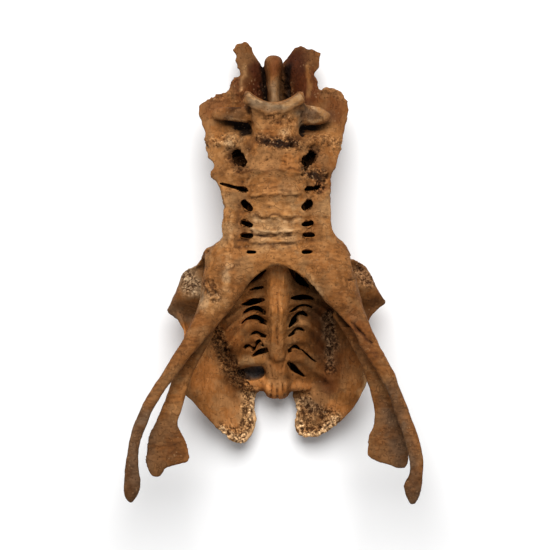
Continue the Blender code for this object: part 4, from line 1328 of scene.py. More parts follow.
@dataclass
class Paint:
    """The bone's colours, laid on one patch after another and left as attributes for its finish; some
    patches are painted shade and painted highlights.

    Attributes:
        base: the colour under all the patches.
        colour_patches: the patches of colour, one over the other: the bone's own staining, and painted
            shade and highlights.
        wander: how far their edges stray.
        wander_size: the size of that.
        fade: height over which they end.
        underside: how fast they fade where the bone turns down.
        rough_edge: how sharply rough places end.
        crumbled: how rough crumbled bone is beside spongy bone.
        recess: how many steps its surroundings reach, and the depth that counts as full; the finish darkens
            recesses with painted shade and dirty pits.
        hollow: the same for the wider hollows, which the finish darkens as painted shade.
    """

    base: Tint = Tint.BROWN
    colour_patches: tuple[ColourPatch, ...] = (
        # the waist and the arch
        ColourPatch(((0, 150), (0, 20)), 46, Tint.TAN, 0.9, low=78),
        ColourPatch(((0, 84), (0, 30)), 30, Tint.PALE, 0.7, low=88),
        ColourPatch(((-52, 12), (0, 14), (52, 12)), 26, Tint.TAN, 0.7, low=80),
        ColourPatch(((-8, 36), (10, 37)), 14, Tint.CREAM, 0.35, low=88),
        ColourPatch(((-10, 68), (14, 62)), 20, Tint.PALE, 0.6, low=88),
        # brown lines and light ridges across the waist
        ColourPatch(((-34, 100), (-10, 101), (14, 102), (30, 99)), 1.9, Tint.UMBER, 0.9, low=88),
        ColourPatch(((-12, 84), (14, 82)), 1.6, Tint.UMBER, 0.8, low=88),
        ColourPatch(((-24, 76), (0, 77), (24, 76)), 1.8, Tint.UMBER, 0.85, low=88),
        ColourPatch(((-20, 55), (0, 56), (24, 54)), 1.8, Tint.UMBER, 0.9, low=88),
        ColourPatch(((-20, 52), (0, 53), (22, 51)), 1.8, Tint.CREAM, 0.6, low=88),
        ColourPatch(((-26, 44), (-13, 40), (0, 41), (16, 43)), 2.2, Tint.CREAM, 0.8, low=88),
        ColourPatch(((-26, 41), (-13, 37), (0, 38), (16, 40)), 1.9, Tint.UMBER, 0.95, low=88),
        ColourPatch(((-36, 33), (-14, 27), (14, 29), (26, 33)), 1.9, Tint.UMBER, 0.8, low=88),
        ColourPatch(((-36, 70), (-40, 24)), 2.0, Tint.UMBER, 0.7, low=70),
        ColourPatch(((44, 64), (46, 26)), 2.0, Tint.UMBER, 0.6, low=70),
        ColourPatch(((-44, 62), (-47, 30)), 2.4, Tint.CREAM, 0.6, low=62),
        ColourPatch(((-50, 100), (-50, 30)), 16, Tint.PALE, 0.6, low=62),
        ColourPatch(((52, 124), (50, 90)), 16, Tint.WARM, 0.5, low=62),
        ColourPatch(((50, 72), (48, 30)), 14, Tint.PALE, 0.6, low=62),
        ColourPatch(((-52, 124), (-54, 104)), 14, Tint.BROWN, 0.5, low=50),
        ColourPatch(((-46, 138), (-62, 116)), 18, Tint.PALE, 0.8, low=40),
        ColourPatch(((50, 136), (62, 120)), 16, Tint.TAN, 0.8, low=40),
        # hips and front rods
        ColourPatch(((-50, 10), (-62, -20)), 26, Tint.TAN, 0.55, low=80),
        ColourPatch(((-48, 8), (-54, -14)), 22, Tint.BROWN, 0.65, low=88),
        ColourPatch(((54, 6), (72, -24)), 26, Tint.BROWN, 0.7, low=88),
        ColourPatch(((-48, 18), (-49, -16)), 5, Tint.CREAM, 0.5, low=88),
        ColourPatch(((32, -4), (42, -24)), 7, Tint.CREAM, 0.5, low=88),
        ColourPatch(((-70, -10), (-66, -24), (-58, -26)), 2.2, Tint.UMBER, 0.9, low=88),
        ColourPatch(((-64, -12), (-60, -22)), 2.0, Tint.UMBER, 0.9, low=88),
        ColourPatch(((-54, -26), (-68, -32)), 12, Tint.CREAM, 0.5, low=80),
        ColourPatch(((-76, 8), (-75, -26)), 5, Tint.GREY, 0.7, low=70),
        ColourPatch(((75, -50), (95, -69)), 2.0, Tint.BLACK, 0.8, low=80),
        ColourPatch(((50, 20), (58, -4)), 2.2, Tint.UMBER, 0.7, low=88),
        ColourPatch(((62, 2), (70, -20)), 2.2, Tint.UMBER, 0.6, low=88),
        ColourPatch(((-36, 12), (-52, -4)), 2.0, Tint.UMBER, 0.6, low=88),
        ColourPatch(((52, 10), (62, -6)), 22, Tint.TAN, 0.4, low=80),
        ColourPatch(((-72, -44), (-84, -64)), 14, Tint.WARM, 0.4, low=80),
        ColourPatch(((76, -45), (90, -80)), 16, Tint.RUST, 0.35, low=80),
        ColourPatch(((-130, -140), (-142, -230)), 20, Tint.SHADE, 0.9, low=100),
        ColourPatch(((112, -120), (136, -230)), 20, Tint.SHADE, 0.9, low=100),
        ColourPatch(((-60, -32), (-66, -40)), 9, Tint.PALE, 0.5, low=80),
        ColourPatch(((-140, -180), (-142, -230)), 16, Tint.UMBER, 0.4, low=100),
        ColourPatch(((134, -196), (136, -230)), 16, Tint.UMBER, 0.3, low=100),
        ColourPatch(((-92, -110), (-102, -134)), 16, Tint.TAN, 0.5, low=80, high=122),
        ColourPatch(((-106, -160), (-108, -195)), 28, Tint.UMBER, 0.45, low=80, high=122),
        ColourPatch(((108, -140), (110, -190)), 30, Tint.UMBER, 0.3, low=80, high=122),
        # the ledges beside the sockets
        ColourPatch(((-90, 0), (-84, -14)), 16, Tint.GREY, 0.8, high=80),
        ColourPatch(((-92, -4), (-84, -16)), 14, Tint.SHADE, 0.25, high=80),
        ColourPatch(((86, 2), (96, -8)), 14, Tint.SHADE, 0.45, high=80),
        ColourPatch(((-104, -34), (-84, -44)), 17, Tint.SHADE, 0.7, high=80),
        ColourPatch(((106, -28), (90, -40)), 15, Tint.UMBER, 0.7, high=80),
        # first body, its lip and bars
        ColourPatch(((-26, 174), (-13, 166), (-2, 162), (9, 166), (22, 174)), 8, Tint.GREY, 0.95, low=92),
        # painted shade: black in the deep hollows beside the first body, under the ends of its lip
        ColourPatch(((-28, 166), (-27, 159)), 3.5, Tint.BLACK, 0.8, low=30, high=95),
        ColourPatch(((28, 166), (30, 156)), 4, Tint.BLACK, 0.8, low=30, high=95),
        ColourPatch(((-12, 156), (-2, 151), (12, 155)), 2.6, Tint.UMBER, 0.9, low=88),
        ColourPatch(((-27, 175), (-12, 165)), 8, Tint.SHADE, 0.35, low=90),
        ColourPatch(((-25, 176), (-14, 168)), 3, Tint.CREAM, 0.4, low=94),
        ColourPatch(((8, 166), (22, 174)), 4, Tint.CREAM, 0.4, low=94),
        ColourPatch(((-14, 152), (-10, 138)), 14, Tint.WARM, 0.8, low=80),
        ColourPatch(((0, 150), (12, 146)), 12, Tint.BROWN, 0.6, low=80),
        ColourPatch(((-8, 116), (10, 104)), 28, Tint.WARM, 0.4, low=80),
        ColourPatch(((0, 92), (0, 84)), 24, Tint.WARM, 0.4, low=88),
        ColourPatch(((50, 112), (54, 98)), 13, Tint.BROWN, 0.8, low=55),
        ColourPatch(((9, 139),), 8, Tint.CREAM, 0.8, low=80),
        ColourPatch(((23, 158), (24, 140)), 5, Tint.GREY, 0.8, low=60),
        ColourPatch(((-4, 157), (12, 152)), 9, Tint.WARM, 0.6, low=90),
        ColourPatch(((-16, 150), (-17, 138)), 6, Tint.TAN, 0.8, low=80),
        ColourPatch(((-36, 158), (-60, 158)), 8, Tint.SHADE, 0.65, low=55),
        ColourPatch(((28, 157), (54, 156)), 10, Tint.SHADE, 0.9, low=40),
        # painted highlights: cream along the rims of the first bars
        ColourPatch(((-54, 164), (-64, 158), (-56, 153)), 2.8, Tint.CREAM, 0.8, low=55, edge=2),
        ColourPatch(((-50, 153), (-30, 151)), 2.4, Tint.CREAM, 0.5, low=58),
        ColourPatch(((36, 165), (54, 157), (34, 150)), 2.6, Tint.CREAM, 0.6, low=55, edge=2),
        # painted shadow: a dark line along the left first bar's front edge
        ColourPatch(((-46, 163), (-36, 164)), 3, Tint.DARK, 0.8, low=55),
        ColourPatch(((-15, 132), (-4, 129), (10, 128), (22, 129)), 9, Tint.BROWN, 0.8, low=80, edge=2),
        ColourPatch(((-16, 131), (-4, 128), (10, 127), (20, 127)), 4.5, Tint.DARK, 0.85, low=80, edge=2),
        ColourPatch(((0, 128), (14, 127.5)), 3, Tint.BLACK, 0.95, low=80, edge=3),
        ColourPatch(((-14, 131), (-8, 129)), 2.5, Tint.BLACK, 0.9, low=80, edge=3),
        ColourPatch(((-27, 124), (-20, 134), (4, 135)), 5, Tint.UMBER, 0.6, low=80),
        ColourPatch(((14, 132), (24, 134)), 5, Tint.UMBER, 0.6, low=80),
        # painted shadow: black in the gaps behind both first bars, where they stand over the blades
        ColourPatch(((-54, 153), (-40, 149), (-28, 147)), 6, Tint.BLACK, 1.0, high=58, edge=4),
        ColourPatch(((-28, 146), (-33, 136)), 6, Tint.BLACK, 0.95, high=78, edge=3),
        ColourPatch(((-36, 138), (-48, 144)), 8, Tint.UMBER, 0.5, high=52),
        ColourPatch(((25, 146), (38, 146), (50, 147.5)), 5.5, Tint.BLACK, 1.0, high=58, edge=4),
        ColourPatch(((25, 144), (26, 135)), 4.5, Tint.BLACK, 0.95, high=78, edge=3),
        ColourPatch(((33, 99), (50, 92)), 9, Tint.BROWN, 0.8, low=60, edge=2),
        ColourPatch(((34, 98), (49, 95)), 4, Tint.DARK, 0.85, low=60, edge=2),
        ColourPatch(((36, 97), (44, 92)), 4, Tint.BLACK, 0.8, low=60, edge=2),
        ColourPatch(((42, 86), (46, 82)), 6, Tint.RUST, 0.5, low=60, edge=2),
        ColourPatch(((-44, 120), (-36, 106)), 10, Tint.UMBER, 0.7, low=60),
        ColourPatch(((38, 120), (30, 106)), 9, Tint.UMBER, 0.7, low=60),
        ColourPatch(((-58, 133), (-40, 131)), 12, Tint.BROWN, 0.6, low=40, high=76),
        ColourPatch(((60, 132), (36, 131)), 12, Tint.BROWN, 0.5, low=40, high=76),
        ColourPatch(((-56, 130), (-46, 129)), 4, Tint.CREAM, 0.8, low=40, edge=3),
        ColourPatch(((0, 190), (0, 168)), 9, Tint.GREY, 0.6, high=60),
        ColourPatch(((0, 220), (0, 206)), 12, Tint.RUST, 0.7, high=60),
        # front blades
        ColourPatch(((-30, 230), (-34, 196)), 20, Tint.UMBER, 0.4, high=62),
        ColourPatch(((28, 230), (38, 196)), 22, Tint.UMBER, 0.65, high=62),
        # painted shade: dark maroon on the steep inner wall of the left blade beside the crest
        ColourPatch(((-19, 206), (-19, 180)), 15, Tint.MAROON, 0.95, high=62),
        ColourPatch(((-30, 176), (-38, 190)), 14, Tint.RUST, 0.7, high=62),
        # painted shade: dark maroon on the steep inner wall of the right blade beside the crest
        ColourPatch(((18, 216), (26, 180)), 20, Tint.MAROON, 0.95, high=62),
        ColourPatch(((34, 196), (36, 176)), 12, Tint.RUST, 0.8, high=62),
        ColourPatch(((32, 212), (33, 178)), 3.4, Tint.TAN, 0.7, low=20),
        ColourPatch(((-32, 208), (-36, 184)), 3.2, Tint.PALE, 0.6, low=20),
        # painted shade: black at the bottom of the deep gaps between the front blades and the crest
        ColourPatch(((-14, 205), (-13, 176)), 13, Tint.BLACK, 0.95, high=26),
        ColourPatch(((14, 205), (15, 176)), 13, Tint.BLACK, 0.95, high=26),
        ColourPatch(((-56, 172), (-64, 158)), 16, Tint.WARM, 0.75, high=80),
        ColourPatch(((-58, 172), (-64, 160)), 15, Tint.RUST, 0.45, high=80),
        ColourPatch(((58, 172), (60, 156)), 16, Tint.RUST, 0.5, high=80),
        ColourPatch(((-62, 150), (-60, 138)), 16, Tint.TAN, 0.8, high=80),
        ColourPatch(((54, 144), (60, 134)), 14, Tint.PALE, 0.6, high=80),
        # painted shade on what is seen through the holes of the waist and the slots, and a painted shadow
        # in the pit under the shield's hole
        ColourPatch(((-38, 118), (-33, 106)), 11, Tint.DARK, 0.9, high=76),
        ColourPatch(((36, 118), (30, 106)), 11, Tint.DARK, 0.9, high=76),
        ColourPatch(((-41, 92), (-34, 24)), 22, Tint.DARK, 0.95, high=83),
        ColourPatch(((41, 92), (34, 24)), 22, Tint.DARK, 0.95, high=83),
        ColourPatch(((-26, 20), (-26, -50)), 32, Tint.BLACK, 0.95, high=22),
        ColourPatch(((26, 20), (26, -50)), 32, Tint.BLACK, 0.95, high=22),
        ColourPatch(((-26, -50), (-24, -84)), 26, Tint.BLACK, 0.95, high=12),
        ColourPatch(((26, -50), (26, -110)), 26, Tint.BLACK, 0.95, high=12),
        # painted shadow: grey of the table in shade, on the floor of the pit under the shield's hole
        ColourPatch(((-38, -100), (-14, -100)), 18, Tint.SLATE, 0.98, high=13),
        # the cavity
        ColourPatch(((0, -10), (1, -80)), 17, Tint.TAN, 0.75, high=80),
        # partly the bone's lighter colour, partly painted light: honey on the column just behind the arch,
        # where the arch shades it
        ColourPatch(((1, 2), (1, -26)), 20, Tint.HONEY, 0.6, high=80),
        ColourPatch(((28, -50), (38, -54)), 8, Tint.AMBER, 0.8, low=20, high=80),
        ColourPatch(((1, -66), (1, -124)), 14, Tint.WARM, 0.65, high=80),
        ColourPatch(((1, -112), (1, -124)), 12, Tint.AMBER, 0.3, high=80),
        ColourPatch(((-20, -30), (-30, -70)), 20, Tint.WARM, 0.6, low=20, high=70),
        ColourPatch(((-24, -36), (-26, -42)), 8, Tint.UMBER, 0.5, low=12, high=70),
        # partly the bone's lighter colour, partly painted light: honey on the left web, which the hip and
        # arch shade
        ColourPatch(((-30, -26), (-46, -62)), 20, Tint.HONEY, 0.8, low=14, high=70),
        ColourPatch(((78, -84), (74, -112)), 18, Tint.AMBER, 0.45, low=14, high=70),
        ColourPatch(((-34, -90), (-16, -90)), 9, Tint.PALE, 0.8, high=60),
        ColourPatch(((-22, -112), (-12, -112)), 10, Tint.HONEY, 0.9, high=60),
        ColourPatch(((-22, -112), (-12, -112)), 10, Tint.PALE, 0.3, high=60),
        ColourPatch(((20, -114), (36, -114)), 9, Tint.AMBER, 0.9, high=60),
        # partly the bone's dark colour, partly painted shade: umber on the right web
        ColourPatch(((40, -44), (46, -74)), 18, Tint.UMBER, 0.7, high=70),
        ColourPatch(((48, -40), (54, -90)), 20, Tint.RUST, 0.4, high=70),
        ColourPatch(((52, -46), (56, -90)), 10, Tint.GREY, 0.4, high=70),
        ColourPatch(((60, -104), (76, -76)), 18, Tint.RUST, 0.35, high=70),
        ColourPatch(((-60, -62), (-54, -80), (-47, -96), (-38, -106)), 12, Tint.BROWN, 0.8, high=60),
        ColourPatch(((-52, -76), (-44, -96), (-38, -108)), 8, Tint.DARK, 0.5, high=60, edge=2),
        ColourPatch(((-44, -76), (-42, -88)), 4, Tint.DARK, 0.4, high=60, edge=2),
        ColourPatch(((92, -82), (91, -106), (84, -124)), 3, Tint.CREAM, 0.6, high=70),
        ColourPatch(((70, -112), (60, -132)), 14, Tint.TAN, 0.4, high=70),
        ColourPatch(((48, -112), (56, -116)), 12, Tint.RUST, 0.6, high=60),
        ColourPatch(((-76, -90), (-62, -130), (-46, -146)), 22, Tint.TAN, 0.8, high=70),
        # partly the bone's lighter colour, partly painted light: amber and honey on the left bowl, which
        # the left rods shade
        ColourPatch(((-80, -72), (-76, -104)), 26, Tint.AMBER, 0.95, high=70),
        ColourPatch(((-84, -70), (-72, -104)), 24, Tint.HONEY, 0.75, high=70),
        ColourPatch(((-60, -126), (-46, -148)), 20, Tint.AMBER, 0.4, high=70),
        ColourPatch(((-30, -126), (-32, -156)), 12, Tint.PALE, 0.7, high=60),
        ColourPatch(((-22, -124), (-22, -158), (-36, -170), (-56, -160)), 6, Tint.CREAM, 0.95, high=60, edge=2),
        ColourPatch(((28, -150), (56, -146)), 14, Tint.PALE, 0.5, high=60),
        ColourPatch(((28, -130), (40, -136)), 9, Tint.GREY, 0.4, high=60),
        ColourPatch(((28, -144), (44, -146)), 12, Tint.UMBER, 0.5, high=60),
        ColourPatch(((20, -130), (20, -148), (28, -163), (46, -162), (60, -148)), 4.5, Tint.CREAM, 0.85, edge=2),
        ColourPatch(((56, -134), (66, -138)), 9, Tint.AMBER, 0.5, high=60),
    )
    wander: float = 4.0
    wander_size: float = 9.0
    fade: float = 5.0
    underside: float = 1.5
    rough_edge: float = 1.6
    crumbled: float = 0.4
    recess: tuple[int, float] = (3, 0.6)
    hollow: tuple[int, float] = (24, 2.4)

    def apply(self, surface: Surface, relief: Relief) -> None:
        """Leave the colours, the rough places and the recesses as attributes.

        Args:
            surface: the finished bone's points.
            relief: whose rough strokes get a rough finish too.
        """
        x, y, z = surface.places.T
        stray = np.array([noise.noise_vector(Vector(place) / self.wander_size) for place in surface.places])
        x, y = x + self.wander * stray[:, 0], y + self.wander * stray[:, 1]
        outside = eased(1 + self.underside * surface.normals[:, 2])
        colour = np.tile(np.array(self.base.value), (len(x), 1))
        for colour_patch in self.colour_patches:
            above = eased((z - colour_patch.low) / self.fade + 0.5)
            below = eased((colour_patch.high - z) / self.fade + 0.5)
            weight = eased(colour_patch.edge * (1 - along(colour_patch.path, x, y) / colour_patch.width))
            weight = colour_patch.strength * (outside * above * below) * weight
            colour += (np.array(colour_patch.tint.value) - colour) * weight[:, None]
        rough = np.zeros(len(x))
        for stroke in relief.strokes:
            if stroke.grain in (Grain.SPONGY, Grain.CRUMBLED):
                weight = eased(self.rough_edge * (1 - along(stroke.path, x, y) / stroke.width))
                weight *= surface.seen & (z > stroke.low) & (z < stroke.high)
                if stroke.grain is Grain.CRUMBLED:
                    weight *= self.crumbled
                rough = np.maximum(rough, weight)
        surface.keep("paint", colour)
        surface.keep("rough", rough)
        for name, (steps, depth) in (("recess", self.recess), ("hollow", self.hollow)):
            surface.keep(name, np.clip(surface.recess(steps) / depth, -1, 1))


@dataclass
class Pelvis:
    """The whole bone as one skin."""

    voxel: float = 1.35
    most_triangles: int = 194000
    cut_tolerance: float = 0.01
    bench: Bench = field(default_factory=Bench)
    relief: Relief = field(default_factory=Relief)
    paint: Paint = field(default_factory=Paint)

    def __post_init__(self) -> None:
        """Lay the parts out on one bench."""
        self.hips, self.vertebrae = HipBones(self.bench), Vertebrae(self.bench)
        self.joints, self.rods = HipJoints(self.bench), Rods(self.bench)
        self.web, self.openings = Web(self.bench), Openings(self.bench)

    def build(self) -> Solid:
        """Make the bone.

        Returns:
            The bone as one closed mesh in the shared frame.
        """
        bone = self.finished(self.skin())
        self.bench.close()
        return bone

    def skin(self) -> Solid:
        """Melt the bone's shapes into one skin and cut its openings.

        Returns:
            The skin.
        """
        bench = self.bench
        blades, covers = self.hips.build()
        front = covers + self.vertebrae.build_front()
        front += self.joints.build_blocks() + self.rods.build_front_rods()
        front_mass = bench.fused(bench.joined("front_mass", front), self.voxel, softening=1)
        front_mass = bench.combined(front_mass, self.openings.front_cutters(), "DIFFERENCE")
        log.info("front mass: %d faces", len(front_mass.data.polygons))
        rest = blades + self.vertebrae.build_rest() + self.joints.build_ledges()
        rest += self.rods.build_rear_rods() + self.web.build()
        whole = bench.fused(bench.joined("whole", [front_mass, *rest]), self.voxel, softening=1)
        log.info("whole: %d faces", len(whole.data.polygons))
        hollows, passages = self.joints.cutters()
        passages += [*self.openings.canal(), self.web.hole()]
        wide = [bench.joined("hollows", hollows), bench.joined("passages", passages)]
        whole = bench.combined(whole, wide, "DIFFERENCE")
        skin = bench.fused(whole, self.voxel, softening=2)
        log.info("skin: %d faces", len(skin.data.polygons))
        slots = self.web.cutters() + self.openings.waist_cutters()
        sharp = [bench.joined("slots", slots), self.openings.lip()]
        return bench.combined(skin, sharp, "DIFFERENCE")

    def finished(self, skin: Solid) -> Solid:
        """Work the skin, thin it, cut it flat where it lies, move it to the shared frame and paint it.

        Args:
            skin: the bone's skin, which is changed.

        Returns:
            The finished bone.
        """
        surface = Surface(skin.data, Vector((0, 0, 0)))
        self.relief.work(surface)
        surface.store()
        log.info("relief: %d strokes", len(self.relief.strokes))
        skin.data.calc_loop_triangles()
        thin = skin.modifiers.new("thin_out", "DECIMATE")
        thin.ratio = min(1.0, self.most_triangles / len(skin.data.loop_triangles))
        graph = bpy.context.evaluated_depsgraph_get()
        mesh = bpy.data.meshes.new_from_object(skin.evaluated_get(graph))
        bm = bmesh.new()
        bm.from_mesh(mesh)
        cut = bmesh.ops.bisect_plane(
            bm,
            geom=bm.verts[:] + bm.edges[:] + bm.faces[:],
            dist=self.cut_tolerance * MM,
            plane_co=(0, 0, GROUND * MM),
            plane_no=(0, 0, 1),
            clear_inner=True,
        )
        edges = [item for item in cut["geom_cut"] if isinstance(item, bmesh.types.BMEdge)]
        bmesh.ops.holes_fill(bm, edges=edges, sides=0)
        bmesh.ops.translate(bm, verts=bm.verts, vec=Vector((*MIDDLE, GROUND)) * -MM)
        bm.to_mesh(mesh)
        bm.free()
        mesh.materials.clear()
        mesh.shade_smooth()
        log.info("thinned: %d faces", len(mesh.polygons))
        self.paint.apply(Surface(mesh, Vector((*MIDDLE, GROUND))), self.relief)
        log.info("paint: %d stains", len(self.paint.colour_patches))
        bone = bpy.data.objects.new("fused_bone", mesh)
        bpy.context.scene.collection.objects.link(bone)
        return bone


class Value:
    """A shader socket that can be used in sums and products."""

    def __init__(self, shader: "Shader", socket: bpy.types.NodeSocket) -> None:
        """Wrap a socket of a shader's node."""
        self.shader = shader
        self.socket = socket

    def math(self, operation: str, *others: "Term") -> "Value":
        """The result of a Math node on this value and others."""
        inputs = dict(enumerate((self, *others)))
        return self.shader.node("ShaderNodeMath", {"operation": operation}, inputs)

    def __add__(self, other: "Term") -> "Value":
        """Sum."""
        return self.math("ADD", other)

    def __sub__(self, other: "Term") -> "Value":
        """Difference."""
        return self.math("SUBTRACT", other)

    def __mul__(self, other: "Term") -> "Value":
        """Product."""
        return self.math("MULTIPLY", other)

    def __rsub__(self, other: float) -> "Value":
        """Difference from a number."""
        return self.shader.node("ShaderNodeMath", {"operation": "SUBTRACT"}, {0: other, 1: self})

    __radd__ = __add__
    __rmul__ = __mul__

    def step(self, low: float, high: float) -> "Value":
        """A smooth step.

        Args:
            low: where it starts from 0.
            high: where it reaches 1.

        Returns:
            The step's value.
        """
        settings = {"interpolation_type": "SMOOTHSTEP"}
        inputs = {"Value": self, "From Min": low, "From Max": high}
        return self.shader.node("ShaderNodeMapRange", settings, inputs)


Term = Union[Value, float]


class Shader:
    """The node tree of one material."""

    def __init__(self, name: str) -> None:
        """Start a material with a Principled shader.

        Args:
            name: the material's name.
        """
        self.material = bpy.data.materials.new(name)
        self.material.use_nodes = True
        self.tree = self.material.node_tree
        self.surface = self.tree.nodes["Principled BSDF"]

    def node(
        self,
        kind: str,
        settings: Optional[dict] = None,
        inputs: Optional[dict] = None,
        output: Union[int, str] = 0,
    ) -> Value:
        """Add a node.

        Args:
            kind: the node's type.
            settings: its properties, set first.
            inputs: values or links by socket name or number.
            output: the socket that is wanted.

        Returns:
            The wanted output.
        """
        made = self.tree.nodes.new(kind)
        for name, setting in (settings or {}).items():
            setattr(made, name, setting)
        for name, term in (inputs or {}).items():
            self.feed(made.inputs[name], term)
        return Value(self, made.outputs[output])

    def feed(self, socket: bpy.types.NodeSocket, term: Union[Value, float, tuple]) -> None:
        """Link a value to a socket, or set the socket's own value.

        Args:
            socket: the input.
            term: the value, number or colour.
        """
        if isinstance(term, Value):
            self.tree.links.new(term.socket, socket)
        else:
            socket.default_value = term

    def blend(self, amount: Term, first: Union[Value, Row], second: Union[Value, Row]) -> Value:
        """A mix of two colours.

        Args:
            amount: how much of the second.
            first: the first colour.
            second: the second colour.

        Returns:
            The mixed colour.
        """
        # A Mix node has a factor, two inputs and an output for each type, so its colours go by number
        settings = {"data_type": "RGBA", "blend_type": "MIX", "clamp_factor": True}
        return self.node("ShaderNodeMix", settings, {0: amount, 6: first, 7: second}, output=2)

    def tinted(self, colour: Value, tint: Row) -> Value:
        """A colour seen through a tint."""
        return self.node("ShaderNodeVectorMath", {"operation": "MULTIPLY"}, {0: colour, 1: tint})

    def scaled(self, colour: Value, amount: Term) -> Value:
        """A colour made lighter or darker."""
        inputs = {"Vector": colour, "Scale": amount}
        return self.node("ShaderNodeVectorMath", {"operation": "SCALE"}, inputs)

    def noise(self, place: Value, scale: float, detail: float) -> Value:
        """A noise pattern on the given coordinates."""
        inputs = {"Vector": place, "Scale": scale, "Detail": detail, "Roughness": 0.6}
        return self.node("ShaderNodeTexNoise", None, inputs)

    def stretched(self, place: Value, scale: Row) -> Value:
        """Coordinates on which a pattern is drawn out."""
        return self.node("ShaderNodeMapping", None, {"Vector": place, "Scale": scale})

    def attribute(self, name: str, output: str = "Fac") -> Value:
        """One of the bone's own attributes."""
        return self.node("ShaderNodeAttribute", {"attribute_name": name}, output=output)


@dataclass(frozen=True)
class Marks:
    """The attributes of the bone and the patterns on it, from which its finish is mixed.

    Attributes:
        paint: colour of its painted patches, with painted shade and highlights among them.
        rough: 1 on spongy bone.
        recess: how deep a point lies below its nearest surroundings.
        hollow: the same for wider surroundings.
        upper: 1 on the waist, 0 in the cavity.
        mottle: the broad patches.
        blotch: the smaller ones.
        fibre: the fibres along the bone.
        strata: the lines across the waist.
        cracks: 1 in the fine dark cracks.
        pits: 1 in the small pits.
        flecks: 1 on the light flecks.
        pores: spongy bone's pores.
        grit: the crumbs on them.
    """

    paint: Value
    rough: Value
    recess: Value
    hollow: Value
    upper: Value
    mottle: Value
    blotch: Value
    fibre: Value
    strata: Value
    cracks: Value
    pits: Value
    flecks: Value
    pores: Value
    grit: Value


